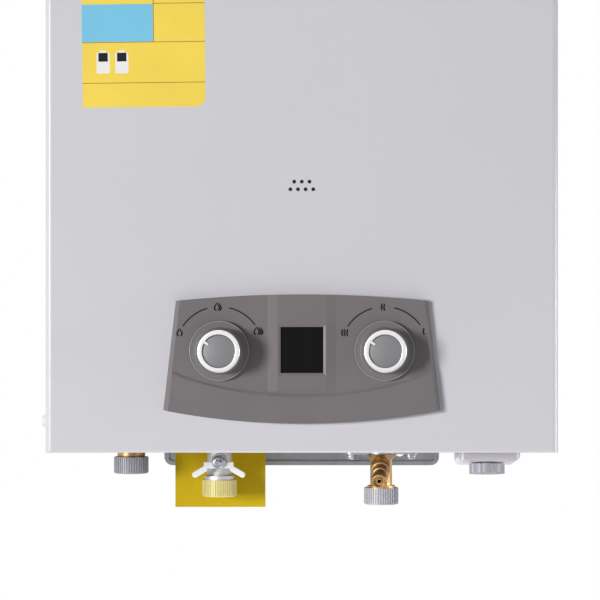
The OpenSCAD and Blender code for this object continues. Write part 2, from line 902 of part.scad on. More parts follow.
module bottom_plate() color([0.62, 0.63, 0.64]) placed() difference() {
  depth = -plate_t - floor_front_y;
  union() {
    translate([-floor_half_w, floor_front_y, floor_z]) cube([2 * floor_half_w, depth, plate_t]);
    for (x = [-floor_half_w, floor_half_w - plate_t]) {
      translate([x, floor_front_y, floor_z]) cube([plate_t, depth, floor_flange]);
    }
  }
  translate([-hot_x, -pipe_y, floor_z - cut]) cylinder(r = thread_r + cap_gap, h = plate_t + 2 * cut);
  translate([-gas_x, -pipe_y, floor_z - cut]) cylinder(r = cock_r + pass_gap, h = plate_t + 2 * cut);
  translate([cold_x, -pipe_y, floor_z - cut]) linear_extrude(plate_t + 2 * cut) {
    stadium([-flange_screw_x, 0], [flange_screw_x, 0], 2 * (leg_r + pass_gap));
    circle(inlet_boss_r + pass_gap);
  }
  translate([0, 0, floor_z - cut]) linear_extrude(plate_t + 2 * cut) battery_cutout(cover_gap);
  for (i = [0 : air_slot_count - 1]) {
    x = (i - (air_slot_count - 1) / 2) * air_slot_pitch;
    translate([x, -air_slot_y, floor_z - cut]) linear_extrude(plate_t + 2 * cut) {
      stadium([0, (air_slot_w - air_slot_l) / 2], [0, (air_slot_l - air_slot_w) / 2], air_slot_w);
    }
  }
  at_side_fixing() screw_hole(screw_l + cover_gap);
}

// A pan-head screw whose head sits on z = 0
module pan_screw(head_r, head_h, r, l) {
  rotate_extrude() polygon([
    [0, -l], [r, -l], [r, 0], [head_r, 0], [head_r, head_h * 0.5], [head_r * 0.7, head_h], [0, head_h]
  ]);
}

module casing_screws() color([0.7, 0.7, 0.72]) placed() {
  at_side_screws() pan_screw(screw_head_r, screw_head_h, screw_r, screw_l);
  at_flue_screws() pan_screw(screw_head_r, screw_head_h, screw_r, screw_l);
}

module side_fixing() color([0.92, 0.92, 0.93]) placed() at_side_fixing() {
  tube(side_washer_r, screw_r + screw_gap, side_washer_t);
  translate([0, 0, side_washer_t]) pan_screw(screw_head_r, screw_head_h, screw_r, screw_l + side_washer_t);
}

module sight_glass() color([0.35, 0.4, 0.42]) placed() {
  translate([-glass_w / 2, inner_front_y, sight_z - glass_h / 2]) cube([glass_w, glass_t, glass_h]);
}

// Control panel, drawn as seen from the front

module fascia_outline(inset) {
  corner_z = fascia_bottom + corner_rise;
  reach = 120;
  lean = tan(fascia_lean);
  half_low = fascia_half_w - inset + (corner_z - fascia_bottom + inset) * lean;
  half_high = fascia_half_w - inset - (fascia_top - corner_z) * lean;
  intersection() {
    polygon([
      [-half_low, fascia_bottom - inset], [half_low, fascia_bottom - inset],
      [half_high, fascia_top], [-half_high, fascia_top]
    ]);
    translate([0, fascia_top - fascia_top_r]) circle(fascia_top_r - inset);
    translate([0, fascia_bottom + fascia_bottom_r]) circle(fascia_bottom_r - inset);
    translate([-reach, fascia_bottom - reach]) square([2 * reach, 3 * reach]);
  }
}

module fascia_side_cut(s) {
  corner_z = fascia_bottom + corner_rise;
  long = 200;
  mirror([s < 0 ? 1 : 0, 0, 0]) translate([fascia_half_w, corner_z, 0]) rotate([0, 0, fascia_lean]) {
    rotate([0, -fascia_draft, 0]) translate([0, -long / 2, -long / 10]) cube([long / 4, long, long / 2]);
  }
}

module dial_fields() {
  reach = 120;
  difference() {
    intersection() {
      translate([0, crease_z + crease_r]) circle(crease_r);
      translate([-reach, 0]) square([2 * reach, reach]);
    }
    translate([-strip_half_w, crease_z + strip_step]) square([2 * strip_half_w, reach]);
  }
}

module control_fascia() color([0.48, 0.46, 0.46]) placed() facing_front(0, front_y, 0) {
  difference() {
    linear_extrude(fascia_h) fascia_outline(0);
    for (s = [-1, 1]) fascia_side_cut(s);
    translate([0, 0, field_h]) linear_extrude(fascia_h) dial_fields();
    translate([0, 0, -cut]) linear_extrude(fascia_inside_h + cut) {
      fascia_outline(fascia_wall + fascia_h * tan(fascia_draft));
    }
    for (s = [-1, 1]) {
      translate([s * knob_x, knob_z, 0]) cylinder(r = spindle_r + spindle_hole_gap, h = 2 * fascia_h);
    }
    translate([0, window_z, 0]) linear_extrude(2 * fascia_h) square([window_w, window_h], center = true);
    translate([0, window_z, fascia_h - step_depth]) linear_extrude(fascia_h) {
      square([window_w + 2 * window_step, window_h + 2 * window_step], center = true);
    }
  }
  for (sx = [-1, 1], sy = [-1, 1]) {
    x = sx * (window_w / 2 + board_margin - post_r);
    z = window_z + sy * (window_h / 2 + board_margin - post_r);
    translate([x, z, fascia_inside_h - display_t]) cylinder(r = post_r, h = display_t);
  }
}

module display_lens() color([0.1, 0.1, 0.1]) placed() facing_front(0, front_y, window_z) {
  translate([0, 0, fascia_inside_h]) linear_extrude(fascia_wall - step_depth - lens_sink) {
    square([window_w - 2 * lens_gap, window_h - 2 * lens_gap], center = true);
  }
}

module display_board() color([0.1, 0.35, 0.2]) placed() facing_front(0, front_y, window_z) {
  translate([0, 0, fascia_inside_h - display_t]) linear_extrude(display_t) {
    square([window_w + 2 * display_margin, window_h + 2 * display_margin], center = true);
  }
  translate([0, 0, fascia_inside_h - display_t - board_t]) linear_extrude(board_t) {
    square([window_w + 2 * board_margin, window_h + 2 * board_margin], center = true);
  }
}

// Knobs

module at_knob(s) facing_front(s * knob_x, front_y - field_h, knob_z) children();

module knob_body(s) at_knob(s) translate([0, 0, knob_gap]) difference() {
  rotate_extrude() polygon([
    [0, 0], [skirt_r, 0], [skirt_r, skirt_h], [skirt_r - skirt_lip_w, skirt_h],
    [skirt_r - skirt_lip_w, skirt_h - skirt_sink], [barrel_foot_r, cone_top_h],
    [barrel_r, knob_h - ring_t], [ring_in_r, knob_h - ring_t],
    [ring_in_r, knob_h - disc_sink], [0, knob_h - disc_sink]
  ]);
  translate([0, 0, -cut]) cylinder(r = spindle_r + run_gap, h = knob_socket_h + cut);
}

module knob_ring(s) at_knob(s) translate([0, 0, knob_gap + knob_h - ring_t]) {
  bevel = ring_t / 2;
  rotate_extrude() polygon([
    [ring_in_r + run_gap, 0], [barrel_r, 0], [barrel_r, ring_t - bevel],
    [barrel_r - bevel, ring_t], [ring_in_r + run_gap, ring_t]
  ]);
  rotate(pointer_angle) translate([ring_in_r - pointer_l, -pointer_w / 2, ring_t - disc_sink]) {
    cube([pointer_l + ring_w / 2, pointer_w, disc_sink * 0.8]);
  }
}

module knob_spindle(s, inner_y) {
  tip_y = front_y - field_h - knob_gap - knob_socket_h + cut;
  facing_front(s * knob_x, inner_y, knob_z) cylinder(r = spindle_r, h = inner_y - tip_y);
}

module gas_knob() color([0.5, 0.48, 0.5]) placed() knob_body(-1);
module water_knob() color([0.5, 0.48, 0.5]) placed() knob_body(1);
module gas_knob_ring() color([0.9, 0.9, 0.91]) placed() knob_ring(-1);
module water_knob_ring() color([0.9, 0.9, 0.91]) placed() knob_ring(1);
module gas_spindle() color("silver") placed() knob_spindle(-1, gas_spindle_y);
module water_spindle() color("silver") placed() knob_spindle(1, water_spindle_y);

// Gas way

module gas_valve_block() color([0.66, 0.67, 0.68]) placed() difference() {
  union() {
    translate([-gas_x - block_w / 2, block_front_y, block_z0]) cube([block_w, block_d, block_h]);
    facing_front(-knob_x, block_front_y, knob_z) cylinder(r = block_boss_r, h = block_boss_l);
  }
  facing_front(-knob_x, gas_spindle_y, knob_z) cylinder(r = spindle_r + run_gap, h = block_d);
  translate([-gas_x, -pipe_y, block_z0 - cut]) cylinder(r = cock_r + tube_gap, h = block_socket + cut);
  translate([-gas_x, -pipe_y, block_z0]) cylinder(r = port_r, h = block_h + cut);
  facing_right(-gas_x + block_w / 2 - rod_hole_l, -pipe_y, knob_z) {
    cylinder(r = rod_r + rod_gap, h = block_d);
  }
}

module gas_solenoid() color([0.15, 0.15, 0.17]) placed() {
  facing_front(-gas_x, block_front_y + block_d + solenoid_l, knob_z + solenoid_lift) {
    cylinder(r = solenoid_r, h = solenoid_l);
  }
}

module gas_riser() color([0.72, 0.45, 0.3]) placed() {
  start = [-gas_x, -pipe_y, block_z0 + block_h];
  turn_z = start.z + gas_bend_r + gas_stub;
  manifold_y = chamber_front_y - manifold_gap - manifold_d / 2;
  pipe_run([
    start,
    [-gas_x, -pipe_y, turn_z],
    [-gas_x, manifold_y, turn_z],
    [-gas_x, manifold_y, mouth_z - manifold_h / 2]
  ], gas_pipe_r, gas_pipe_t, gas_bend_r);
}

module at_mouths(y) {
  for (i = [0 : bar_count - 1]) {
    facing_front((i - (bar_count - 1) / 2) * bar_pitch, y, mouth_z) children();
  }
}

module gas_manifold() color([0.7, 0.7, 0.71]) placed() {
  back_y = chamber_front_y - manifold_gap;
  wall = manifold_wall;
  difference() {
    translate([-manifold_x, back_y - manifold_d, mouth_z - manifold_h / 2]) {
      cube([2 * manifold_x, manifold_d, manifold_h]);
    }
    translate([-manifold_x + wall, back_y - manifold_d + wall, mouth_z - manifold_h / 2 + wall]) {
      cube([2 * (manifold_x - wall), manifold_d - 2 * wall, manifold_h - 2 * wall]);
    }
    at_mouths(back_y + cut) cylinder(r = jet_r, h = wall + 2 * cut);
    translate([-gas_x, back_y - manifold_d / 2, mouth_z - manifold_h]) cylinder(r = port_r, h = manifold_h);
  }
  for (x = [-manifold_x, manifold_x - bracket_t]) {
    translate([x, back_y, mouth_z - manifold_h / 2]) cube([bracket_t, manifold_gap, manifold_h]);
  }
}

module gas_injectors() color([0.78, 0.6, 0.3]) placed() {
  at_mouths(chamber_front_y - manifold_gap + injector_l) tube(injector_r, jet_r, injector_l);
}

module burner_frame() color([0.6, 0.6, 0.6]) placed() {
  difference() {
    translate([-chamber_x, chamber_front_y, burner_z]) cube([chamber_w, chamber_d, burner_h]);
    translate([-chamber_x + burner_wall, chamber_front_y + burner_wall, burner_z - cut]) {
      cube([chamber_w - 2 * burner_wall, chamber_d - 2 * burner_wall, burner_h + 2 * cut]);
    }
    at_mouths(chamber_front_y + burner_wall + cut) cylinder(r = mouth_r, h = burner_wall + 2 * cut);
  }
  for (s = [-1, 1]) {
    x = s * (chamber_x - foot_w) - foot_w / 2;
    translate([x, chamber_back_y, burner_z]) cube([foot_w, -chamber_back_y - plate_t, foot_h]);
  }
}

module burner_bar() {
  l = chamber_d - 2 * burner_wall;
  y0 = chamber_front_y + burner_wall;
  z0 = burner_z + bar_base_gap;
  slot_pitch = l / bar_slot_count;
  difference() {
    translate([-bar_w / 2, y0, z0]) cube([bar_w, l, bar_h]);
    facing_front(0, y0 + l / 2, mouth_z) cylinder(r = mouth_r, h = l);
    for (i = [0 : bar_slot_count - 1]) {
      translate([-bar_w, y0 + (i + 0.5) * slot_pitch - bar_slot_w / 2, z0 + bar_h - bar_slot_depth]) {
        cube([2 * bar_w, bar_slot_w, bar_h]);
      }
    }
  }
}

module burner_bars() color([0.55, 0.55, 0.56]) placed() {
  for (i = [0 : bar_count - 1]) translate([(i - (bar_count - 1) / 2) * bar_pitch, 0, 0]) burner_bar();
}

module electrodes() color([0.93, 0.92, 0.9]) placed() {
  for (s = [-1, 1]) {
    facing_front(s * electrode_x, chamber_front_y + ceramic_back + tip_l, electrode_z) rotate_extrude() {
      front = ceramic_back + tip_l;
      polygon([
        [0, 0], [tip_r, 0], [tip_r, tip_l], [ceramic_r, tip_l], [ceramic_r, front],
        [electrode_flange_r, front],
        [electrode_flange_r, front + electrode_flange_t], [ceramic_r, front + electrode_flange_t],
        [ceramic_r, front + ceramic_front], [0, front + ceramic_front]
      ]);
    }
  }
}

// Heat exchanger and flue

module combustion_chamber() color([0.72, 0.43, 0.28]) placed() difference() {
  translate([-chamber_x, chamber_front_y, chamber_z]) cube([chamber_w, chamber_d, chamber_h]);
  translate([-chamber_x + chamber_t, chamber_front_y + chamber_t, chamber_z - cut]) {
    cube([chamber_w - 2 * chamber_t, chamber_d - 2 * chamber_t, chamber_h + 2 * cut]);
  }
  for (s = [-1, 1]) {
    facing_front(s * electrode_x, chamber_front_y + chamber_t + cut, electrode_z) {
      cylinder(r = ceramic_r + tube_gap, h = chamber_t + 2 * cut);
    }
  }
  facing_front(0, chamber_front_y + chamber_t + cut, sight_z) linear_extrude(chamber_t + 2 * cut) {
    square([sight_port_w, sight_port_h], center = true);
  }
  for (i = [0 : tube_count - 1]) {
    facing_right(-chamber_w, first_tube_y + i * tube_pitch, tube_z) {
      cylinder(r = tube_r + tube_gap, h = 2 * chamber_w);
    }
  }
}

module fin(x) {
  facing_right(x - fin_t / 2, -chamber_y, tube_z) linear_extrude(fin_t) difference() {
    square([fin_h, chamber_d - 2 * chamber_t - 2 * fin_gap], center = true);
    for (i = [0 : tube_count - 1]) {
      translate([0, (i - (tube_count - 1) / 2) * tube_pitch]) circle(tube_r + tube_gap);
    }
  }
}

module fin_block() color([0.75, 0.46, 0.3]) placed() {
  for (i = [0 : fin_count - 1]) fin((i - (fin_count - 1) / 2) * fin_pitch);
}

module exchanger_tubes() color([0.76, 0.45, 0.28]) placed() {
  passes = [
    for (i = [0 : tube_count - 1], end = [0, 1]) [
      ((i + end) % 2 == 0 ? 1 : -1)
        * ((i == 0 && end == 0) || (i == tube_count - 1 && end == 1) ? tube_end_x : turn_x),
      first_tube_y + i * tube_pitch,
      tube_z
    ]
  ];
  pipe_run(passes, tube_r, tube_t, tube_pitch / 2);
}

module jacket_coil() color([0.74, 0.44, 0.28]) placed() pipe_run([
  [riser_x, -outlet_y, riser_top_z],
  [riser_x, -outlet_y, coil_z1],
  [riser_x, coil_front_y, coil_z1],
  [coil_left_x, coil_front_y, coil_z1],
  [coil_left_x, coil_back_y, coil_z1],
  [coil_climb_x, coil_back_y, coil_z1],
  [coil_climb_x, coil_back_y, coil_z2],
  [coil_right_x, coil_back_y, coil_z2],
  [coil_right_x, first_tube_y, coil_z2],
  [coil_right_x, first_tube_y, tube_z],
  [tube_end_x, first_tube_y, tube_z]
], tube_r, tube_t, bend_r);

module cold_riser() color([0.72, 0.45, 0.3]) placed() pipe_run([
  [cold_x, -outlet_y, outlet_top_z],
  [cold_x, -outlet_y, riser_turn_z],
  [riser_x, -outlet_y, riser_turn_z],
  [riser_x, -outlet_y, riser_top_z]
], tube_r, tube_t, bend_r);

module hot_pipe() color([0.72, 0.45, 0.3]) placed() pipe_run([
  [-tube_end_x, last_tube_y, tube_z],
  [hot_run_x, last_tube_y, tube_z],
  [hot_run_x, last_tube_y, hot_turn_z],
  [hot_run_x, -pipe_y, hot_turn_z],
  [-hot_x, -pipe_y, hot_turn_z],
  [-hot_x, -pipe_y, hot_pipe_end_z]
], tube_r, tube_t, bend_r);

module hood_profile(wall) {
  low = chamber_top_z + wall;
  shoulder = chamber_top_z + hood_box_h;
  polygon([
    [-chamber_x + wall, low], [chamber_x - wall, low], [chamber_x - wall, shoulder],
    [hood_top_half_w - wall, hood_top_z - wall], [-hood_top_half_w + wall, hood_top_z - wall],
    [-chamber_x + wall, shoulder]
  ]);
}

module draft_hood() color([0.64, 0.65, 0.66]) placed() difference() {
  facing_front(0, -chamber_y + hood_half_d, 0) linear_extrude(2 * hood_half_d) hood_profile(0);
  facing_front(0, -chamber_y + hood_half_d - chamber_t, 0) {
    linear_extrude(2 * (hood_half_d - chamber_t)) hood_profile(chamber_t);
  }
  translate([-chamber_x + chamber_t, chamber_front_y + chamber_t, chamber_top_z - cut]) {
    cube([chamber_w - 2 * chamber_t, chamber_d - 2 * chamber_t, 3 * cut]);
  }
  translate([0, -chamber_y, hood_top_z - 2 * chamber_t]) cylinder(r = flue_r - flue_t, h = 4 * chamber_t);
}

module flue_duct() color([0.66, 0.67, 0.68]) placed() {
  translate([0, -chamber_y, hood_top_z]) tube(flue_r, flue_r - flue_t, case_h - hood_top_z);
}

module flue_collar() color([0.7, 0.71, 0.72]) placed() difference() {
  translate([0, -chamber_y, case_h]) {
    cylinder(r = flue_r + flue_flange_w, h = flue_flange_t);
    cylinder(r = flue_r, h = flue_flange_t + flue_l);
  }
  translate([0, -chamber_y, case_h - cut]) {
    cylinder(r = flue_r - flue_t, h = flue_l + flue_flange_t + 2 * cut);
  }
  at_flue_screws() screw_hole(screw_l);
}

module thermostats() color([0.2, 0.2, 0.22]) placed() {
  facing_right(-chamber_x - thermostat_t, -chamber_y, overheat_z) {
    cylinder(r = thermostat_r, h = thermostat_t);
  }
  facing_front(draft_sensor_x, -chamber_y - hood_half_d, chamber_top_z + hood_box_h / 2) {
    cylinder(r = thermostat_r, h = thermostat_t);
  }
}

// Pipe connections

module hot_nipple() color([0.75, 0.55, 0.28]) placed() translate([-hot_x, -pipe_y, 0]) difference() {
  union() {
    translate([0, 0, hot_thread_z]) cylinder(r = hot_collar_r, h = floor_top - hot_thread_z);
    translate([0, 0, hot_thread_z - thread_l]) cylinder(r = thread_r, h = thread_l);
    translate([0, 0, floor_top]) cylinder(r = hot_hex_r, h = hot_hex_h, $fn = 6);
    translate([0, 0, floor_top + hot_hex_h]) cylinder(r = hot_stub_r, h = hot_stub_h);
  }
  translate([0, 0, hot_thread_z - thread_l - cut]) cylinder(r = port_r, h = case_d);
  translate([0, 0, hot_pipe_end_z]) cylinder(r = tube_r + tube_gap, h = case_d);
}

// A toothed transport cap whose open end is at z = 0
module knurled_cap() {
  inner_r = thread_r + cap_gap;
  depth = cap_h - cap_end_t;
  points = [
    for (i = [0 : 2 * cap_teeth - 1])
      let (a = 180 * i / cap_teeth, r = cap_r - (i % 2) * cap_tooth) [r * cos(a), r * sin(a)]
  ];
  difference() {
    translate([0, 0, -cap_h]) linear_extrude(cap_h) polygon(points);
    translate([0, 0, -depth]) cylinder(r = inner_r, h = depth + cut);
  }
}

module hot_cap() color([0.6, 0.59, 0.62]) placed() {
  translate([-hot_x, -pipe_y, hot_thread_z - cap_gap]) knurled_cap();
}
module gas_cap() color([0.85, 0.8, 0.52]) placed() {
  translate([-gas_x, -pipe_y, gas_thread_z - cap_gap]) knurled_cap();
}
module cold_cap() color([0.71, 0.7, 0.73]) placed() {
  translate([cold_x, -pipe_y, cold_thread_z - cap_gap]) knurled_cap();
}

module at_cock() facing_front(-gas_x, -pipe_y, cock_z) children();

module gas_cock_body() color([0.8, 0.8, 0.78]) placed() difference() {
  collar_z = gas_thread_z + cock_collar_h;
  groove_z = collar_z + cock_groove_h;
  union() {
    translate([-gas_x, -pipe_y, 0]) {
      translate([0, 0, groove_z]) cylinder(r = cock_r, h = block_z0 + block_socket - groove_z);
      translate([0, 0, collar_z]) cylinder(r = cock_r - cock_groove, h = cock_groove_h);
      translate([0, 0, gas_thread_z]) cylinder(r = thread_r - cap_gap, h = cock_collar_h);
      translate([0, 0, gas_thread_z - thread_l]) cylinder(r = thread_r, h = thread_l);
      translate([0, 0, cock_hex_z0]) cylinder(r = cock_hex_r, h = cock_hex_h, $fn = 6);
    }
    at_cock() cylinder(r = cock_boss_r, h = cock_boss_l);
  }
  translate([-gas_x, -pipe_y, gas_thread_z - thread_l - cut]) cylinder(r = port_r, h = case_d);
  at_cock() sphere(ball_r + ball_gap);
  at_cock() cylinder(r = stem_r + run_gap, h = 2 * cock_boss_l);
}

module gas_cock_ball() color([0.85, 0.85, 0.86]) placed() at_cock() difference() {
  sphere(ball_r);
  rotate([0, 90, 0]) translate([0, 0, -2 * ball_r]) cylinder(r = ball_bore_r, h = 4 * ball_r);
  translate([-ball_r, -ball_r, stem_seat]) cube(2 * ball_r);
}

module gas_cock_stem() color([0.78, 0.78, 0.76]) placed() at_cock() difference() {
  translate([0, 0, stem_seat]) cylinder(r = stem_r, h = handle_y + handle_t - stem_seat);
  translate([0, 0, handle_y + handle_t - handle_screw_l]) {
    cylinder(r = handle_screw_shank_r + run_gap, h = handle_screw_l + cut);
  }
}

module gas_cock_handle() color([0.93, 0.93, 0.93]) placed() at_cock() translate([0, 0, handle_y]) {
  bar_end = handle_bar_w / 2 - wing_w / 2;
  wing = [wing_x - bar_end, bar_drop - wing_drop];
  arm_w = wing_w - arm_step;
  linear_extrude(handle_t) difference() {
    union() {
      circle(hub_r);
      translate([0, -bar_drop]) square([2 * bar_end, arm_w], center = true);
      for (s = [0, 1]) mirror([s, 0]) translate([bar_end, -bar_drop]) {
        circle(wing_w / 2);
        rotate(atan2(wing.y, wing.x)) translate([0, -arm_w / 2]) square([norm(wing), arm_w]);
        translate(wing) circle(wing_w / 2);
      }
    }
    circle(stem_r + run_gap);
  }
}

module gas_cock_screw() color([0.66, 0.7, 0.75]) placed() at_cock() {
  translate([0, 0, handle_y + handle_t]) {
    pan_screw(handle_screw_r, handle_screw_h, handle_screw_shank_r, handle_screw_l - cut);
  }
}

module gas_tag() color([0.78, 0.66, 0.1]) placed() translate([-gas_x, -pipe_y, 0]) difference() {
  shelf_z = cock_hex_z0 + cock_hex_h;
  union() {
    translate([-tag_w / 2, -tag_front, shelf_z]) cube([tag_w, tag_front + tag_y + tag_t, tag_t]);
    translate([-tag_w / 2, tag_y, tag_bottom]) cube([tag_w, tag_t, shelf_z - tag_bottom + tag_t]);
  }
  translate([0, 0, shelf_z - cut]) cylinder(r = cock_r + tag_hole_gap, h = tag_t + 2 * cut);
}

// Local +Z runs out along the drain plug's axis
module at_drain() {
  translate([cold_x, -pipe_y, drain_z]) rotate([0, 0, -drain_turn]) {
    rotate([90 + drain_dip, 0, 0]) children();
  }
}

module cold_inlet() color([0.72, 0.54, 0.26]) placed() difference() {
  union() {
    translate([cold_x, -pipe_y, 0]) {
      translate([0, 0, cold_thread_z]) cylinder(r = inlet_r, h = inlet_spigot_l - cold_thread_z);
      translate([0, 0, flange_z]) cylinder(r = inlet_collar_r, h = -flange_z);
      translate([0, 0, shoulder_z - shoulder_h]) cylinder(r1 = inlet_r, r2 = shoulder_r, h = shoulder_h);
      translate([0, 0, cold_thread_z]) cylinder(r = flare_r, h = flare_h);
      translate([0, 0, cold_thread_z - thread_l]) cylinder(r = thread_r, h = thread_l);
    }
    at_drain() cylinder(r = drain_r, h = drain_boss_l);
  }
  translate([cold_x, -pipe_y, cold_thread_z - thread_l - cut]) cylinder(r = port_r, h = case_d);
  at_drain() cylinder(r = drain_bore_r, h = 2 * drain_boss_l);
}

module inlet_flange() color([0.72, 0.72, 0.73]) placed() {
  translate([cold_x, -pipe_y, flange_z - flange_t]) linear_extrude(flange_t) difference() {
    union() {
      stadium([-flange_screw_x, 0], [flange_screw_x, 0], flange_w - 2 * flange_screw_x);
      circle(flange_d / 2);
    }
    circle(inlet_r + tube_gap);
    for (s = [-1, 1]) translate([s * flange_screw_x, 0]) circle(screw_r + screw_gap);
  }
}

module inlet_flange_screws() color([0.7, 0.7, 0.7]) placed() {
  l = washer_t + flange_t + screw_l;
  for (s = [-1, 1]) {
    translate([cold_x + s * flange_screw_x, -pipe_y, flange_z - flange_t]) mirror([0, 0, 1]) {
      tube(washer_r, screw_r + screw_gap, washer_t);
      translate([0, 0, washer_t]) pan_screw(screw_head_r, screw_head_h, screw_r, l);
    }
  }
}

module drain_plug() color([0.76, 0.57, 0.27]) placed() at_drain() difference() {
  face = drain_boss_l + drain_gap;
  tip = face + drain_l;
  rotate_extrude() polygon([
    [0, drain_boss_l - drain_shank_l], [drain_bore_r - run_gap, drain_boss_l - drain_shank_l],
    [drain_bore_r - run_gap, face], [drain_r, face], [drain_r, face + drain_ring_t],
    [drain_neck_r, face + drain_ring_t + cut], [drain_neck_r, tip - nose_l - cut], [nose_r, tip - nose_l],
    [nose_r, tip - cut], [nose_r - cut, tip], [0, tip]
  ]);
  translate([0, 0, tip - nose_l]) cylinder(r = drain_hole_r, h = nose_l + cut);
}

// Water valve

module valve_disc(x0, x1, r) facing_right(x0, -pipe_y, knob_z) cylinder(r = r, h = x1 - x0);

module at_valve_screws() {
  for (a = [45 : 90 : 315]) {
    facing_right(valve_cover_x0, -pipe_y, knob_z) rotate(a) translate([valve_screw_ring_r, 0, 0]) children();
  }
}

module valve_screw_hole() {
  translate([0, 0, -cut]) cylinder(r = valve_screw_r + screw_gap, h = valve_screw_hole_l);
}

module water_valve_body() color([0.72, 0.54, 0.28]) placed() difference() {
  union() {
    valve_disc(valve_body_x0, valve_body_x1, valve_r);
    facing_front(knob_x, -pipe_y - valve_chamber_r, knob_z) {
      cylinder(r = valve_boss_r, h = valve_r - valve_chamber_r + valve_boss_l);
    }
    translate([cold_x, -pipe_y, 0]) cylinder(r = inlet_boss_r, h = knob_z - valve_chamber_r - cut);
    translate([cold_x, -outlet_y, knob_z]) cylinder(r = outlet_boss_r, h = outlet_top_z - knob_z);
    translate([cold_x - flange_screw_x - leg_r, -pipe_y - saddle_d / 2, saddle_z0]) {
      cube([2 * (flange_screw_x + leg_r), saddle_d, saddle_h]);
    }
    for (s = [-1, 1]) {
      translate([cold_x + s * flange_screw_x, -pipe_y, flange_z]) {
        cylinder(r = leg_r, h = saddle_z0 - flange_z + cut);
      }
    }
  }
  valve_disc(valve_body_x0 - cut, valve_body_x1 - valve_wall, valve_chamber_r);
  translate([cold_x, -pipe_y, -cut]) cylinder(r = inlet_r + tube_gap, h = inlet_spigot_l + 1.5 * cut);
  translate([cold_x, -pipe_y, 0]) cylinder(r = port_r, h = knob_z);
  translate([cold_x, -outlet_y, knob_z]) cylinder(r = port_r, h = case_d);
  facing_front(knob_x, water_spindle_y, knob_z) cylinder(r = spindle_r + run_gap, h = case_d);
  for (s = [-1, 1]) {
    translate([cold_x + s * flange_screw_x, -pipe_y, flange_z - cut]) {
      cylinder(r = screw_r + screw_gap, h = screw_l + 2 * cut);
    }
  }
  at_valve_screws() valve_screw_hole();
}

module water_valve_cover() color([0.7, 0.52, 0.27]) placed() difference() {
  union() {
    valve_disc(valve_cover_x0, valve_cover_x1, valve_r);
    translate([switch_x1, -pipe_y - switch_d / 2, switch_z0 + arm_lift]) {
      cube([valve_cover_x0 - switch_x1, switch_d, arm_h]);
    }
  }
  valve_disc(valve_cover_x0 + valve_wall, valve_cover_x1 + cut, valve_chamber_r);
  valve_disc(valve_cover_x0 - cut, valve_cover_x1, rod_r + run_gap);
  at_valve_screws() valve_screw_hole();
}

module water_valve_screws() color([0.68, 0.68, 0.7]) placed() {
  at_valve_screws() mirror([0, 0, 1]) pan_screw(screw_head_r, screw_head_h, valve_screw_r, valve_screw_l);
}

module water_diaphragm() color([0.12, 0.12, 0.12]) placed() difference() {
  valve_disc(valve_cover_x1, valve_body_x0, valve_r);
  at_valve_screws() valve_screw_hole();
}

module push_rod() color([0.8, 0.8, 0.82]) placed() {
  plate_x1 = valve_cover_x1 - rod_end_gap;
  collar_x = lever_x + lever_t / 2 + rod_end_gap;
  rod_x0 = -gas_x + block_w / 2 - rod_end_in;
  valve_disc(plate_x1 - rod_plate_t, plate_x1, rod_plate_r);
  valve_disc(rod_x0, plate_x1, rod_r);
  valve_disc(collar_x, collar_x + rod_collar_t, rod_collar_r);
}

module microswitch() color([0.18, 0.18, 0.2]) placed() {
  ear_y = lever_w / 2 + ear_gap;
  translate([switch_x1 - switch_l, -pipe_y - switch_d / 2, switch_z0]) cube([switch_l, switch_d, switch_h]);
  difference() {
    for (y = [-pipe_y - ear_y - ear_t, -pipe_y + ear_y]) {
      translate([lever_x - ear_half_w, y, lever_z - ear_half_w]) {
        cube([2 * ear_half_w, ear_t, switch_z0 - lever_z + ear_half_w + cut]);
      }
    }
    facing_front(lever_x, -pipe_y + switch_d, lever_z) cylinder(r = lever_pin_r + run_gap, h = 2 * switch_d);
  }
}

module switch_lever() color([0.8, 0.8, 0.82]) placed() {
  translate([lever_x - lever_t / 2, -pipe_y - lever_w / 2, lever_z - lever_l]) {
    cube([lever_t, lever_w, lever_l + lever_tail]);
  }
  pin_half_l = lever_w / 2 + ear_gap + ear_t;
  facing_front(lever_x, -pipe_y + pin_half_l, lever_z) cylinder(r = lever_pin_r, h = 2 * pin_half_l);
}

module ignition_controller() color([0.16, 0.17, 0.19]) placed() {
  x0 = controller_x - controller_w / 2;
  translate([x0, -plate_t - controller_d, controller_z]) cube([controller_w, controller_d, controller_h]);
  for (z = [controller_z - lug_w, controller_z + controller_h]) difference() {
    translate([x0, -plate_t - lug_t, z]) cube([controller_w, lug_t, lug_w]);
    facing_front(controller_x, 0, z + lug_w / 2) cylinder(r = lug_hole_r, h = controller_d);
  }
}

// Battery compartment

module at_battery(z) translate([battery_x, battery_mid_y, z]) children();

module battery_outline(inset) {
  rounded_rect(battery_w - 2 * inset, battery_d - 2 * inset, battery_corner_r - inset);
}

module hinge_knuckle(x, l, r) facing_right(x, hinge_y, hinge_z) cylinder(r = r, h = l);

module battery_box() color([0.86, 0.86, 0.88]) placed() {
  difference() {
    union() {
      at_battery(box_bottom_z) linear_extrude(box_top_z - box_bottom_z) battery_outline(0);
      at_battery(floor_top) linear_extrude(box_flange_t) battery_outline(-box_flange);
      for (s = [-1, 1]) {
        translate([battery_x + s * knuckle_l * 1.5 - knuckle_l / 2, battery_y1 - battery_wall, hinge_z]) {
          cube([knuckle_l, hinge_y - battery_y1 + battery_wall, hinge_r]);
        }
        hinge_knuckle(battery_x + s * knuckle_l * 1.5 - knuckle_l / 2, knuckle_l, hinge_r);
      }
    }
    at_battery(box_bottom_z - cut) linear_extrude(box_top_z - box_bottom_z - battery_wall + cut) {
      battery_outline(battery_wall);
    }
  }
  hinge_knuckle(battery_x - 1.5 * knuckle_l, 3 * knuckle_l, hinge_pin_r);
}

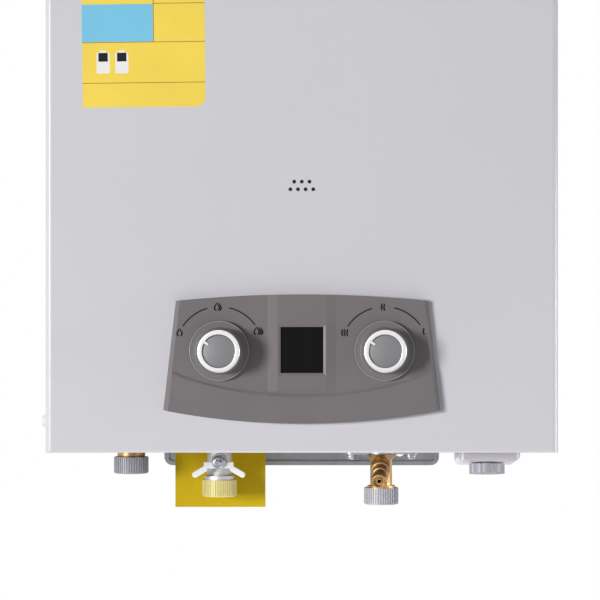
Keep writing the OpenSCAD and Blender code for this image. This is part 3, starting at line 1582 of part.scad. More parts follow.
// The lid's wedge, with its floor raised by a wall thickness and its sides drawn in
module lid_wedge(inset, lift) {
  drop = lid_top - lid_rear_z + 2 * cut;
  difference() {
    at_battery(lid_top - drop) linear_extrude(drop + (lift > 0 ? cut : 0)) battery_outline(inset);
    at_battery(lid_mid_z + lift) rotate([-lid_slope, 0, 0]) {
      translate([-battery_w, -battery_d, -battery_d]) cube([2 * battery_w, 2 * battery_d, battery_d]);
    }
  }
}

// The space inside the lid's rounded lower edges, seen from the front
module lid_rounding() {
  long = 2 * battery_d;
  at_battery(lid_mid_z) rotate([90 - lid_slope, 0, 0]) translate([0, long / 2, -long]) {
    linear_extrude(2 * long) rounded_rect(battery_w, long, lid_edge_r);
  }
}

module at_lock() at_battery(lid_mid_z) rotate([-lid_slope, 0, 0]) children();

module battery_lid() color([0.6, 0.58, 0.62]) placed() difference() {
  union() {
    difference() {
      intersection() {
        lid_wedge(0, 0);
        lid_rounding();
      }
      lid_wedge(battery_wall, battery_wall);
    }
    for (s = [-1, 1]) intersection() {
      lid_wedge(battery_wall / 2, battery_wall / 2);
      at_battery(lid_rear_z) translate([s * ledge_x - ledge_w / 2, -spring_plate_d / 2, 0]) {
        cube([ledge_w, spring_plate_d, lid_top - lid_rear_z - spring_plate_t]);
      }
    }
    hinge_knuckle(battery_x - knuckle_l / 2, knuckle_l, hinge_r);
    translate([battery_x - knuckle_l / 2, battery_y1 - battery_wall, lid_top - hinge_r]) {
      cube([knuckle_l, hinge_y - battery_y1 + battery_wall, hinge_r]);
    }
  }
  hinge_knuckle(battery_x - knuckle_l, 2 * knuckle_l, hinge_pin_r + run_gap);
  at_lock() cylinder(r = lock_neck_r + run_gap, h = 4 * battery_wall, center = true);
}

module battery_lock_knob() color([0.66, 0.65, 0.69]) placed() at_lock() {
  difference() {
    translate([0, 0, -lock_gap - lock_h]) cylinder(r = lock_r, h = lock_h);
    for (i = [0 : lock_lobes - 1]) {
      rotate(i * 360 / lock_lobes) {
        translate([lock_r + lock_lobe_r - lock_lobe_depth, 0, -lock_gap - lock_h - cut]) {
          cylinder(r = lock_lobe_r, h = lock_h + 2 * cut);
        }
      }
    }
  }
  translate([0, 0, -lock_gap - cut]) {
    cylinder(r = lock_neck_r, h = lock_gap + cut + battery_wall + clip_gap + lock_clip_t);
  }
  translate([0, 0, battery_wall + clip_gap]) cylinder(r = lock_clip_r, h = lock_clip_t);
}

module battery_spring() color([0.8, 0.8, 0.8]) placed() {
  plate_w = battery_w - 2 * battery_wall - 2 * knuckle_gap;
  at_battery(lid_top - spring_plate_t) {
    translate([-plate_w / 2, -spring_plate_d / 2, 0]) cube([plate_w, spring_plate_d, spring_plate_t]);
    cylinder(r1 = spring_r, r2 = spring_tip_r, h = cell_z - lid_top + spring_plate_t - contact_gap);
  }
}

module battery_cells() color([0.25, 0.25, 0.28]) placed() {
  for (i = [0, 1]) at_battery(cell_z + i * (cell_l + cell_nub_h)) {
    cylinder(r = cell_r, h = cell_l);
    translate([0, 0, cell_l]) cylinder(r = cell_nub_r, h = cell_nub_h);
  }
}

back_plate();
bottom_plate();
front_cover();
casing_screws();
side_fixing();
sight_glass();
control_fascia();
display_lens();
display_board();
gas_knob();
gas_knob_ring();
gas_spindle();
water_knob();
water_knob_ring();
water_spindle();
gas_valve_block();
gas_solenoid();
gas_riser();
gas_manifold();
gas_injectors();
burner_frame();
burner_bars();
electrodes();
combustion_chamber();
fin_block();
exchanger_tubes();
jacket_coil();
cold_riser();
hot_pipe();
draft_hood();
flue_duct();
flue_collar();
thermostats();
hot_nipple();
hot_cap();
gas_cock_body();
gas_cock_ball();
gas_cock_stem();
gas_cock_handle();
gas_cock_screw();
gas_cap();
gas_tag();
cold_inlet();
inlet_flange();
inlet_flange_screws();
drain_plug();
cold_cap();
water_valve_body();
water_valve_cover();
water_valve_screws();
water_diaphragm();
push_rod();
microswitch();
switch_lever();
ignition_controller();
battery_box();
battery_lid();
battery_lock_knob();
battery_cells();
battery_spring();
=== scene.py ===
import json
import math

import bmesh
import bpy
from mathutils import Matrix, Vector


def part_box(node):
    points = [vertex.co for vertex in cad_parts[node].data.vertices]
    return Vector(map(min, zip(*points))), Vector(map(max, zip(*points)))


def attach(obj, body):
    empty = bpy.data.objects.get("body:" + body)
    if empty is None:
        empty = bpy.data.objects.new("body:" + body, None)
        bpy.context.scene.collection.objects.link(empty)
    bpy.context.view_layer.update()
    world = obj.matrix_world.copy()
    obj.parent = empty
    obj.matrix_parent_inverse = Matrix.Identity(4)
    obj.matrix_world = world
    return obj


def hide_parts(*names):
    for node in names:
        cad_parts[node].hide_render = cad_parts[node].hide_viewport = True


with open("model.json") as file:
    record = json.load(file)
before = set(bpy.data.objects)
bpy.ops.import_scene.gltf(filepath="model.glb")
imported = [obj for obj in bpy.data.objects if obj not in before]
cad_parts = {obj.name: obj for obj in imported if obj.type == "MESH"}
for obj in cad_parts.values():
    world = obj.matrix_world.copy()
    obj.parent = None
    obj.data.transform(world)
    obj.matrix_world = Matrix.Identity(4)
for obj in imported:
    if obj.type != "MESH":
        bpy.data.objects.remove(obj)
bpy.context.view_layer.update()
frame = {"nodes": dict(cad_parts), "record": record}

MM = 0.001
UP = Vector((0, 0, 1))
FRONT = Vector((0, -1, 0))
LEFT = Vector((-1, 0, 0))
RIGHT = Vector((1, 0, 0))
JOIN = 2e-6

BODY_OF = {node: body for body, nodes in frame["record"]["behaviour"]["bodies"].items() for node in nodes}
SLOT_OF = {part["node"]: part["material_slot"] for part in frame["record"]["subparts"]}
FINISHES = {}


# ---- Finding places on the CAD frame

def middle(node):
    low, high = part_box(node)
    return (low + high) / 2


def joint_axis(name):
    for joint in frame["record"]["behaviour"]["joints"]:
        if joint["name"] == name:
            return Vector(joint["pos_m"]), Vector(joint["axis"])


def facing(point, direction):
    """A place whose own +Z points along direction."""
    turn = UP.rotation_difference(Vector(direction)).to_matrix().to_4x4()
    return Matrix.Translation(Vector(point)) @ turn


# ---- Finishes

# The part of a cloud pattern's factor that its tones are spread over
TONE_LOW, TONE_HIGH = 0.3, 0.7


def new_finish(name, rough=0.5, metal=0.0):
    finish = bpy.data.materials.new(name)
    finish.use_nodes = True
    shader = finish.node_tree.nodes["Principled BSDF"]
    shader.inputs["Roughness"].default_value = rough
    shader.inputs["Metallic"].default_value = metal
    return finish, shader


def add_node(finish, kind, **sockets):
    made = finish.node_tree.nodes.new(kind)
    for name, value in sockets.items():
        made.inputs[name].default_value = value
    return made


def link(finish, source, target):
    finish.node_tree.links.new(source, target)


def where(finish, stretch=(1, 1, 1), centre=(0, 0, 0)):
    """The piece's own coordinates, stretched along a grain and moved to a centre."""
    coords = add_node(finish, "ShaderNodeTexCoord")
    mapping = add_node(finish, "ShaderNodeMapping", Scale=stretch)
    mapping.inputs["Location"].default_value = [-c * s for c, s in zip(centre, stretch)]
    link(finish, coords.outputs["Object"], mapping.inputs["Vector"])
    return mapping.outputs["Vector"]


def cloud(finish, place, scale, detail=3.0):
    made = add_node(finish, "ShaderNodeTexNoise", Scale=scale, Detail=detail)
    link(finish, place, made.inputs["Vector"])
    return made.outputs["Fac"]


def spangle(finish, place, scale):
    """One grey for each crystal of a zinc coat."""
    made = add_node(finish, "ShaderNodeTexVoronoi", Scale=scale)
    link(finish, place, made.inputs["Vector"])
    grey = add_node(finish, "ShaderNodeSeparateColor")
    link(finish, made.outputs["Color"], grey.inputs["Color"])
    return grey.outputs["Red"]


def turned_rings(finish, place, scale):
    """Fine tool marks round the Y axis of a turned face."""
    made = add_node(finish, "ShaderNodeTexWave", Scale=scale, Distortion=0.4)
    made.wave_type = "RINGS"
    made.rings_direction = "Y"
    link(finish, place, made.inputs["Vector"])
    return made.outputs["Fac"]


def ramp(finish, value, first, last, low=0.0, high=1.0):
    """Spreads a value from one range over another, and holds it at the ends."""
    spread = add_node(finish, "ShaderNodeMapRange")
    for name, number in zip(("From Min", "From Max", "To Min", "To Max"), (first, last, low, high)):
        spread.inputs[name].default_value = number
    link(finish, value, spread.inputs["Value"])
    return spread.outputs["Result"]


def calculate(finish, operation, *values):
    made = add_node(finish, "ShaderNodeMath")
    made.operation = operation
    for value, socket in zip(values, made.inputs):
        link(finish, value, socket)
    return made.outputs["Value"]


def tint(finish, shader, factor, dark, light, low=TONE_LOW, high=TONE_HIGH):
    """Colours a surface from a dark to a light shade by a pattern's factor."""
    tones = add_node(finish, "ShaderNodeValToRGB")
    for stop, position, colour in zip(tones.color_ramp.elements, (low, high), (dark, light)):
        stop.position = position
        stop.color = (*colour, 1)
    link(finish, factor, tones.inputs["Fac"])
    link(finish, tones.outputs["Color"], shader.inputs["Base Color"])


def gloss(finish, shader, factor, smooth, dull):
    """Varies the roughness by a pattern's factor."""
    link(finish, ramp(finish, factor, TONE_LOW, TONE_HIGH, smooth, dull), shader.inputs["Roughness"])


def skin(finish, shader, height, depth, strength):
    """Gives a surface its fine relief."""
    bump = add_node(finish, "ShaderNodeBump", Strength=strength, Distance=depth)
    link(finish, height, bump.inputs["Height"])
    link(finish, bump.outputs["Normal"], shader.inputs["Normal"])


def shades(colour, spread):
    """A darker and a lighter shade of one colour."""
    return [c * (1 - spread) for c in colour], [min(1, c * (1 + spread)) for c in colour]


def moulded(name, colour, spread=0.04, rough=(0.42, 0.52), grain=1600.0, relief=0.08):
    """Moulded plastic with a fine spark-eroded skin."""
    finish, shader = new_finish(name)
    place = where(finish)
    drift = cloud(finish, place, 28.0)
    tint(finish, shader, drift, *shades(colour, spread))
    gloss(finish, shader, drift, *rough)
    skin(finish, shader, cloud(finish, place, grain, 2.0), 0.0001, relief)
    return finish, shader


def print_ink():
    """The flat black of the printed signs."""
    finish, shader = moulded("print_ink", (0.012, 0.011, 0.012), 0.08, (0.5, 0.6))
    shader.inputs["Specular IOR Level"].default_value = 0.15
    return finish


def panel_plastic(name, colour):
    """The control panel's matt grey plastic."""
    finish, shader = moulded(name, colour, 0.03, (0.38, 0.46), 2200.0, 0.06)
    shader.inputs["Specular IOR Level"].default_value = 0.3
    return finish


def metal(name, colour, spread=0.1, rough=(0.25, 0.38), grain=900.0, relief=0.05,
          stretch=(1, 1, 1), patches=60.0):
    """Bare or plated metal with drifting tone and a fine tooled skin."""
    finish, shader = new_finish(name, metal=1.0)
    place = where(finish, stretch)
    drift = cloud(finish, place, patches, 4.0)
    tint(finish, shader, drift, *shades(colour, spread))
    gloss(finish, shader, drift, *rough)
    skin(finish, shader, cloud(finish, place, grain, 3.0), 0.0001, relief)
    return finish, shader


# Where the casing's side folds begin on its front, and how fast the gloss comes up there
FOLD_X, FOLD_Y, FOLD_REACH = 161.5 * MM, -176.5 * MM, 1.2 * MM
COAT_ON_FLAT, COAT_ON_FOLD = 0.1, 0.85


def on_folds(finish, place):
    """1 on the folds down both sides of the casing's front and 0 on its flat sheet."""
    parts = add_node(finish, "ShaderNodeSeparateXYZ")
    link(finish, place, parts.inputs["Vector"])
    beside = calculate(finish, "ABSOLUTE", parts.outputs["X"])
    sideways = ramp(finish, beside, FOLD_X, FOLD_X + FOLD_REACH)
    forward = ramp(finish, parts.outputs["Y"], FOLD_Y, FOLD_Y - FOLD_REACH)
    return calculate(finish, "MULTIPLY", sideways, forward)


def casing_paint():
    """Pearl grey enamel with a faint orange peel, glossier where it stretches over the folds."""
    finish, shader = new_finish("pearl_enamel")
    place = where(finish)
    drift = cloud(finish, place, 5.0, 2.0)
    tint(finish, shader, drift, *shades((0.672, 0.665, 0.702), 0.012))
    gloss(finish, shader, cloud(finish, place, 90.0), 0.5, 0.58)
    skin(finish, shader, cloud(finish, place, 420.0, 2.0), 0.0001, 0.05)
    shader.inputs["Specular IOR Level"].default_value = 0.3
    coat = ramp(finish, on_folds(finish, place), 0, 1, COAT_ON_FLAT, COAT_ON_FOLD)
    link(finish, coat, shader.inputs["Coat Weight"])
    shader.inputs["Coat Roughness"].default_value = 0.2
    return finish


def galvanised():
    """Zinc-coated sheet with its spangle."""
    finish, shader = new_finish("galvanised_sheet", metal=0.85)
    place = where(finish)
    crystals = spangle(finish, place, 150.0)
    tint(finish, shader, crystals, (0.28, 0.285, 0.30), (0.345, 0.35, 0.365), 0.0, 1.0)
    gloss(finish, shader, crystals, 0.36, 0.45)
    skin(finish, shader, cloud(finish, place, 700.0), 0.0001, 0.06)
    return finish


def turned_metal(name, node, colour, spread, rough):
    """Satin metal or lacquer turned round a knob's axis."""
    finish, shader = new_finish(name, metal=1.0)
    rings = turned_rings(finish, where(finish, centre=middle(node)), 900.0)
    tint(finish, shader, rings, *shades(colour, spread), 0.0, 1.0)
    gloss(finish, shader, rings, *rough)
    skin(finish, shader, rings, 0.00005, 0.08)
    return finish


def knob_silver(node):
    """The satin silver of a knob's ring and pointer."""
    return turned_metal(node + "_silver", node, (0.75, 0.745, 0.75), 0.03, (0.32, 0.40))


def knob_disc(node):
    """The satin grey face inside a knob's ring."""
    finish = turned_metal(node + "_disc", node, (0.235, 0.23, 0.24), 0.06, (0.40, 0.48))
    finish.node_tree.nodes["Principled BSDF"].inputs["Metallic"].default_value = 0.45
    return finish


def display_black():
    """Smoked display window with the faint columns of the panel behind it."""
    finish, shader = new_finish("smoked_window")
    place = where(finish, (1, 1, 0.02))
    columns = cloud(finish, place, 420.0, 1.0)
    tint(finish, shader, columns, (0.0065, 0.0065, 0.0065), (0.0085, 0.0085, 0.0088))
    gloss(finish, shader, columns, 0.16, 0.2)
    shader.inputs["Specular IOR Level"].default_value = 0.05
    return finish


def circuit_board():
    """Green board with its copper runs under the lacquer."""
    finish, shader = new_finish("circuit_board")
    runs = add_node(finish, "ShaderNodeTexBrick", Scale=90.0)
    runs.inputs["Mortar Size"].default_value = 0.04
    runs.inputs["Color1"].default_value = (0.01, 0.085, 0.03, 1)
    runs.inputs["Color2"].default_value = (0.012, 0.11, 0.04, 1)
    runs.inputs["Mortar"].default_value = (0.03, 0.2, 0.07, 1)
    link(finish, where(finish), runs.inputs["Vector"])
    link(finish, runs.outputs["Color"], shader.inputs["Base Color"])
    gloss(finish, shader, runs.outputs["Fac"], 0.25, 0.4)
    return finish


def copper():
    """Drawn copper with heat and handling stains."""
    return metal("drawn_copper", (0.58, 0.275, 0.16), 0.13, (0.30, 0.42), 700.0, 0.06, patches=16.0)[0]


def brass():
    """Cast and turned brass, browner in its patches."""
    finish, shader = new_finish("cast_brass", metal=1.0)
    place = where(finish)
    drift = cloud(finish, place, 95.0, 5.0)
    tint(finish, shader, drift, (0.30, 0.172, 0.07), (0.60, 0.385, 0.175))
    gloss(finish, shader, drift, 0.48, 0.39)
    skin(finish, shader, cloud(finish, place, 520.0, 3.0), 0.00015, 0.12)
    return finish


def tag_card():
    """Yellow card with a fibrous face."""
    finish, shader = new_finish("tag_card")
    place = where(finish)
    drift = cloud(finish, place, 34.0)
    tint(finish, shader, drift, (0.465, 0.318, 0.003), (0.523, 0.376, 0.006))
    gloss(finish, shader, drift, 0.42, 0.55)
    shader.inputs["Specular IOR Level"].default_value = 0.15
    skin(finish, shader, cloud(finish, where(finish, (1, 1, 0.3)), 1400.0), 0.0001, 0.12)
    return finish


def sight_glass():
    """Heat-proof glass, smoked by use."""
    finish, shader = new_finish("sight_glass")
    smoke = cloud(finish, where(finish), 180.0)
    tint(finish, shader, smoke, (0.010, 0.011, 0.012), (0.022, 0.023, 0.024))
    gloss(finish, shader, smoke, 0.08, 0.16)
    shader.inputs["Specular IOR Level"].default_value = 0.3
    return finish


def cell_wrap():
    """A battery cell's dark sleeve."""
    finish, shader = new_finish("cell_sleeve")
    place = where(finish)
    drift = cloud(finish, place, 60.0)
    tint(finish, shader, drift, (0.035, 0.036, 0.042), (0.055, 0.056, 0.064))
    gloss(finish, shader, drift, 0.24, 0.34)
    skin(finish, shader, cloud(finish, place, 900.0), 0.00005, 0.04)
    return finish


def make_finishes():
    """The finishes by material slot, and two more: a lighter grey painted on the knobs' rims as a highlight,
    and the printed signs' ink.
    """
    FINISHES.update({
        "casing_paint": casing_paint(),
        "galvanised": galvanised(),
        "zinc_screw": metal("zinc_plate", (0.40, 0.425, 0.465), 0.14, (0.34, 0.44), 1500.0, 0.06)[0],
        "white_nylon": moulded("white_nylon", (0.80, 0.80, 0.81), 0.02)[0],
        "sight_glass": sight_glass(),
        "fascia_plastic": panel_plastic("fascia_grey", (0.183, 0.169, 0.171)),
        "knob_plastic": panel_plastic("knob_grey", (0.185, 0.173, 0.185)),
        # A lighter grey than the knobs' plastic, painted on their rim beads as a highlight along the rim.
        "knob_rim_painted_highlight": moulded("knob_rim_painted_highlight", (0.34, 0.325, 0.335), 0.03, (0.2, 0.28))[0],
        "print_ink": print_ink(),
        "display_black": display_black(),
        "circuit_board": circuit_board(),
        "plain_steel": metal("plain_steel", (0.46, 0.46, 0.47), 0.12, (0.3, 0.42), 800.0, 0.06)[0],
        "cast_aluminium": metal("cast_aluminium", (0.56, 0.57, 0.58), 0.08, (0.42, 0.55), 420.0, 0.25)[0],
        "black_plastic": moulded("black_plastic", (0.018, 0.018, 0.019), 0.15, (0.4, 0.52))[0],
        "copper": copper(),
        "brass": brass(),
        "nickel": metal("satin_nickel", (0.57, 0.565, 0.555), 0.03, (0.55, 0.63), 900.0, 0.03)[0],
        "stainless": metal("stainless", (0.50, 0.50, 0.51), 0.08, (0.26, 0.36), 700.0, 0.06, (1, 1, 0.1))[0],
        "ceramic": moulded("ceramic", (0.78, 0.76, 0.70), 0.03, (0.2, 0.3), 900.0, 0.04)[0],
        "rubber": moulded("rubber", (0.02, 0.02, 0.021), 0.1, (0.6, 0.75), 900.0, 0.15)[0],
        "cap_grey": moulded("cap_grey", (0.355, 0.345, 0.39), 0.04, (0.36, 0.46))[0],
        "cap_cream": moulded("cap_cream", (0.69, 0.605, 0.245), 0.05, (0.3, 0.4))[0],
        "tag_card": tag_card(),
        "battery_plastic": moulded("battery_grey", (0.61, 0.58, 0.65), 0.03, (0.28, 0.36))[0],
        "cell_wrap": cell_wrap(),
    })


# ---- Shaping

def lathe(profile, steps=64, ring=False):
    """Spins (radius, height) pairs in millimetres round Z. A ring's profile is closed on itself."""
    shape = bmesh.new()
    points = [shape.verts.new((r * MM, 0, h * MM)) for r, h in profile]
    lines = [shape.edges.new(pair) for pair in zip(points, points[1:])]
    if ring:
        lines.append(shape.edges.new((points[-1], points[0])))
    bmesh.ops.spin(shape, geom=points + lines, cent=(0, 0, 0), axis=(0, 0, 1), angle=2 * math.pi,
                   steps=steps, use_merge=True)
    return closed(shape)


def closed(shape):
    """Merges the seams and turns every face outwards."""
    bmesh.ops.remove_doubles(shape, verts=shape.verts, dist=JOIN)
    bmesh.ops.dissolve_degenerate(shape, edges=shape.edges, dist=JOIN / 10)
    bmesh.ops.recalc_face_normals(shape, faces=shape.faces)
    return shape


def put(target, shape, place=None, finish_index=None):
    """Adds a shape to a target at a place."""
    if place is not None:
        shape.transform(place)
    if finish_index is not None:
        for face in shape.faces:
            face.material_index = finish_index
    mesh = bpy.data.meshes.new("shape")
    shape.to_mesh(mesh)
    shape.free()
    target.from_mesh(mesh)
    bpy.data.meshes.remove(mesh)
    return target


def plate(width, height, thick, corner=0.0, segments=4):
    """A flat plate in millimetres, lying on its own XY plane, with rounded corners."""
    shape = bmesh.new()
    bmesh.ops.create_grid(shape, x_segments=1, y_segments=1, size=0.5)
    bmesh.ops.scale(shape, vec=(width * MM, height * MM, 1), verts=shape.verts)
    if corner:
        bmesh.ops.bevel(shape, geom=list(shape.verts), offset=corner * MM, segments=segments, profile=0.5,
                        affect="VERTICES", material=-1)
    return thicken(shape, thick)


def thicken(shape, thick):
    """Gives a flat sheet its thickness along +Z, in millimetres."""
    made = bmesh.ops.extrude_face_region(shape, geom=list(shape.faces), use_keep_orig=True)
    tops = [part for part in made["geom"] if isinstance(part, bmesh.types.BMVert)]
    bmesh.ops.translate(shape, verts=tops, vec=(0, 0, thick * MM))
    return closed(shape)


def as_piece(name, shape, body, slot, *nodes, finishes=None):
    """Makes a shape a piece that rides on a body and stands for CAD nodes."""
    mesh = bpy.data.meshes.new(name)
    shape.to_mesh(mesh)
    shape.free()
    for finish in finishes or [FINISHES[slot]]:
        mesh.materials.append(finish)
    piece = bpy.data.objects.new(name, mesh)
    bpy.context.collection.objects.link(piece)
    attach(piece, body)
    if nodes:
        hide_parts(*nodes)
    return piece


def soften(piece, width, segments=2, angle=32, crisp=None):
    """Rounds the sharp edges by a width in millimetres and shades the rest smooth, up to a crisp angle."""
    piece.data.shade_smooth()
    if width:
        edge = piece.modifiers.new("rounded_edges", "BEVEL")
        edge.width = width * MM
        edge.segments = segments
        edge.limit_method = "ANGLE"
        edge.angle_limit = math.radians(angle)
        edge.use_clamp_overlap = True
        edge.harden_normals = False
    piece.data.set_sharp_from_angle(angle=math.radians(crisp or angle))
    even = piece.modifiers.new("even_shading", "WEIGHTED_NORMAL")
    even.keep_sharp = True
    return piece


def cad_copy(node):
    """A merged copy of a CAD node, with its flat faces joined up."""
    shape = bmesh.new()
    shape.from_mesh(frame["nodes"][node].data)
    bmesh.ops.remove_doubles(shape, verts=shape.verts, dist=JOIN)
    bmesh.ops.dissolve_limit(shape, angle_limit=math.radians(0.4), verts=shape.verts, edges=shape.edges)
    for face in shape.faces:
        face.material_index = 0
    return shape


def dress(node, width=0.2, segments=2, finish=None):
    """Finishes a CAD node as it stands, with rounded edges."""
    slot = SLOT_OF[node]
    finishes = [finish] if finish else None
    piece = as_piece(node + "_finished", cad_copy(node), BODY_OF[node], slot, node, finishes=finishes)
    return soften(piece, width, segments)


# A screw head's outline and cross recess, as shares of its radius and height
HEAD_OUTLINE = ((1.0, 0.42), (0.97, 0.64), (0.88, 0.86), (0.74, 0.97))
RECESS_CORE, RECESS_REACH, RECESS_DEPTH, RECESS_TAPER, RECESS_HALF_ANGLE = 0.26, 0.6, 0.55, 0.7, 15


def pan_head(head_r, head_h, shank_r, shank_l, steps=24):
    """A pan-head screw with a cross recess, its head standing up from z = 0."""
    core, reach = RECESS_CORE * head_r, RECESS_REACH * head_r
    shape = lathe([
        (0, -shank_l), (shank_r * 0.6, -shank_l), (shank_r, -shank_l + 0.5), (shank_r, 0), (head_r, 0),
        *[(head_r * out, head_h * up) for out, up in HEAD_OUTLINE],
        (reach, head_h), (core, head_h), (0, head_h),
    ], steps)
    recess = []
    for face in shape.faces:
        spot = face.calc_center_median()
        out = math.hypot(spot.x, spot.y)
        off = abs((math.degrees(math.atan2(spot.y, spot.x)) + 45) % 90 - 45)
        on_cross = out < core * MM or off < RECESS_HALF_ANGLE
        if spot.z > head_h * MM * 0.9 and out < reach * MM and on_cross:
            recess.append(face)
    made = bmesh.ops.extrude_face_region(shape, geom=recess)
    floor = [part for part in made["geom"] if isinstance(part, bmesh.types.BMVert)]
    bmesh.ops.translate(shape, verts=floor, vec=(0, 0, -head_h * RECESS_DEPTH * MM))
    bmesh.ops.scale(shape, verts=floor, vec=(RECESS_TAPER, RECESS_TAPER, 1))
    return closed(shape)


def thread_profile(outer_r, top, bottom, pitch=1.81, depth=1.1):
    """The toothed outline of a pipe thread, from its top down."""
    root_r = outer_r - depth
    outline = []
    for turn in range(int((top - bottom) / pitch)):
        height = top - turn * pitch
        outline += [(root_r, height), (outer_r, height - pitch * 0.42), (outer_r, height - pitch * 0.58)]
    return outline + [(root_r, bottom + 0.4), (root_r - 0.4, bottom)]


# ---- Casing

SCREW_HEAD_R, SCREW_HEAD_H, SCREW_R, SCREW_L = 3.5, 2.2, 1.8, 6.0
SCREW_HOLE_R = 1.9
NYLON_WASHER_R, NYLON_WASHER_T = 5.0, 2.2


def loose_parts(node):
    """The separate solids of a node, each as its lowest and highest corner."""
    shape = cad_copy(node)
    found, seen = [], set()
    for start in shape.verts:
        if start.index in seen:
            continue
        reach, part = [start], []
        seen.add(start.index)
        while reach:
            vert = reach.pop()
            part.append(vert.co.copy())
            for edge in vert.link_edges:
                other = edge.other_vert(vert)
                if other.index not in seen:
                    seen.add(other.index)
                    reach.append(other)
        low = Vector([min(co[i] for co in part) for i in range(3)])
        high = Vector([max(co[i] for co in part) for i in range(3)])
        found.append((low, high))
    shape.free()
    return found


def casing():
    dress("front_cover", 0.22)
    dress("back_plate", 0.6, 3)
    dress("bottom_plate", 0.15)
    dress("flue_collar", 0.25)
    dress("sight_glass", 0.15)


def casing_screws():
    """Each screw's head looks along the way its solid stands out from the casing."""
    shape = bmesh.new()
    for low, high in loose_parts("casing_screws"):
        spot = (low + high) / 2
        head = pan_head(SCREW_HEAD_R, SCREW_HEAD_H, SCREW_R, SCREW_L)
        if high.x - low.x > high.z - low.z:
            side = RIGHT if spot.x > 0 else LEFT
            seat = Vector((high.x if spot.x > 0 else low.x, spot.y, spot.z)) - side * SCREW_HEAD_H * MM
            put(shape, head, facing(seat, side))
        else:
            seat = Vector((spot.x, spot.y, high.z - SCREW_HEAD_H * MM))
            put(shape, head, facing(seat, UP))
    soften(as_piece("casing_screw_set", shape, "heater", "zinc_screw", "casing_screws"), 0.12)


def side_fixing():
    """The white washer and screw low on the left side."""
    spot = middle("side_fixing")
    seat = Vector((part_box("front_cover")[0].x, spot.y, spot.z))
    shape = lathe([
        (SCREW_HOLE_R, 0), (NYLON_WASHER_R, 0), (NYLON_WASHER_R, NYLON_WASHER_T * 0.6),
        (NYLON_WASHER_R * 0.86, NYLON_WASHER_T), (SCREW_HOLE_R, NYLON_WASHER_T),
    ], 40, ring=True)
    head = pan_head(SCREW_HEAD_R, SCREW_HEAD_H, SCREW_R, SCREW_L + NYLON_WASHER_T)
    put(shape, head, Matrix.Translation((0, 0, NYLON_WASHER_T * MM)))
    shape.transform(facing(seat, LEFT))
    soften(as_piece("side_fixing_finished", shape, "heater", "white_nylon", "side_fixing"), 0.25)


# ---- Control panel

FIELD_Y = -186.0 * MM
STRIP_Y = -187.0 * MM
PRINT_T, PRINT_SINK = 0.07, 0.01
STROKE, SIGN_STROKE = 0.85, 1.0
SCALE_R, SIGN_R = 28.2, 28.0
# Where each scale arc starts and how far it turns, and where the three signs stand, in degrees
SCALE_ARCS = ((146, -40), (77, -41))
SIGN_ANGLES = (155.5, 92, 26.5)
FLAME_R, FLAME_GAP, FLAME_TURN, FLAME_STEP, FLAME_DROP = 1.6, 20, 100, 1.2, 0.5
WAVE_R, WAVE_TURN, WAVE_HEADING, WAVE_DROP, WAVE_STEP = 1.2, 70, 55, 2.2, 1.6


class Pen:
    """Draws a printed stroke on a panel by spinning its cross edge from arc to arc."""

    def __init__(self, shape, start, heading, width=STROKE):
        self.shape, self.heading = shape, math.radians(heading)
        self.spot = Vector((start[0] * MM, start[1] * MM, 0))
        side = self.left() * width * MM / 2
        ends = [shape.verts.new(self.spot + side), shape.verts.new(self.spot - side)]
        self.edge = shape.edges.new(ends)

    def left(self):
        return Vector((-math.sin(self.heading), math.cos(self.heading), 0))

    def arc(self, radius, degrees, step=9):
        """Turns left by degrees at a radius, or right where both are negative."""
        centre = self.spot + self.left() * radius * MM
        turn = math.radians(degrees)
        made = bmesh.ops.spin(self.shape, geom=[*self.edge.verts, self.edge], cent=centre, axis=(0, 0, 1),
                              angle=turn, steps=max(2, int(abs(degrees) / step)))
        self.edge = next(p for p in made["geom_last"] if isinstance(p, bmesh.types.BMEdge))
        self.heading += turn
        self.spot = sum((v.co for v in self.edge.verts), Vector()) / 2
        return self

    def line(self, length, taper=1.0):
        made = bmesh.ops.extrude_edge_only(self.shape, edges=[self.edge])["geom"]
        self.edge = next(p for p in made if isinstance(p, bmesh.types.BMEdge))
        ahead = Vector((math.cos(self.heading), math.sin(self.heading), 0)) * length * MM
        bmesh.ops.translate(self.shape, verts=self.edge.verts, vec=ahead)
        self.spot = sum((v.co for v in self.edge.verts), Vector()) / 2
        bmesh.ops.scale(self.shape, verts=self.edge.verts, vec=(taper, taper, taper),
                        space=Matrix.Translation(-self.spot))
        return self


def flame(shape, spot, sides=(1, -1)):
    """A drop-shaped flame outline, or only its right-hand side where another flame stands in front."""
    x, z = spot
    heading = FLAME_GAP + FLAME_TURN
    rise = FLAME_R * math.sin(math.radians(heading)) / math.cos(math.radians(180 - heading))
    for side in sides:
        gap = math.radians(FLAME_GAP)
        start = (x + side * FLAME_R * math.sin(gap), z - FLAME_DROP - FLAME_R * math.cos(gap))
        pen = Pen(shape, start, 90 + side * (FLAME_GAP - 90), SIGN_STROKE)
        pen.arc(side * FLAME_R, side * FLAME_TURN).line(rise, 0.5)


def wave(shape, spot):
    """One rising curl of warm water."""
    x, z = spot
    pen = Pen(shape, (x, z - WAVE_DROP), WAVE_HEADING, SIGN_STROKE)
    for side in (1, -1, 1):
        pen.arc(side * WAVE_R, side * WAVE_TURN)
    pen.line(0.2, 0.6)


def dial_marks(name, node, sign):
    """The scale arcs and three signs round one knob."""
    shape = bmesh.new()
    axis = middle(node)
    for start, turn in SCALE_ARCS:
        angle = math.radians(start)
        spot = (SCALE_R * math.cos(angle), SCALE_R * math.sin(angle))
        Pen(shape, spot, start - 90).arc(-SCALE_R, turn, 3)
    for count, degrees in enumerate(SIGN_ANGLES):
        angle = math.radians(degrees)
        sign(shape, (SIGN_R * math.cos(angle), SIGN_R * math.sin(angle)), count)
    thicken(shape, PRINT_T)
    shape.transform(facing((axis.x, FIELD_Y + PRINT_SINK * MM, axis.z), FRONT))
    as_piece(name, shape, "heater", "display_black", finishes=[FINISHES["print_ink"]])


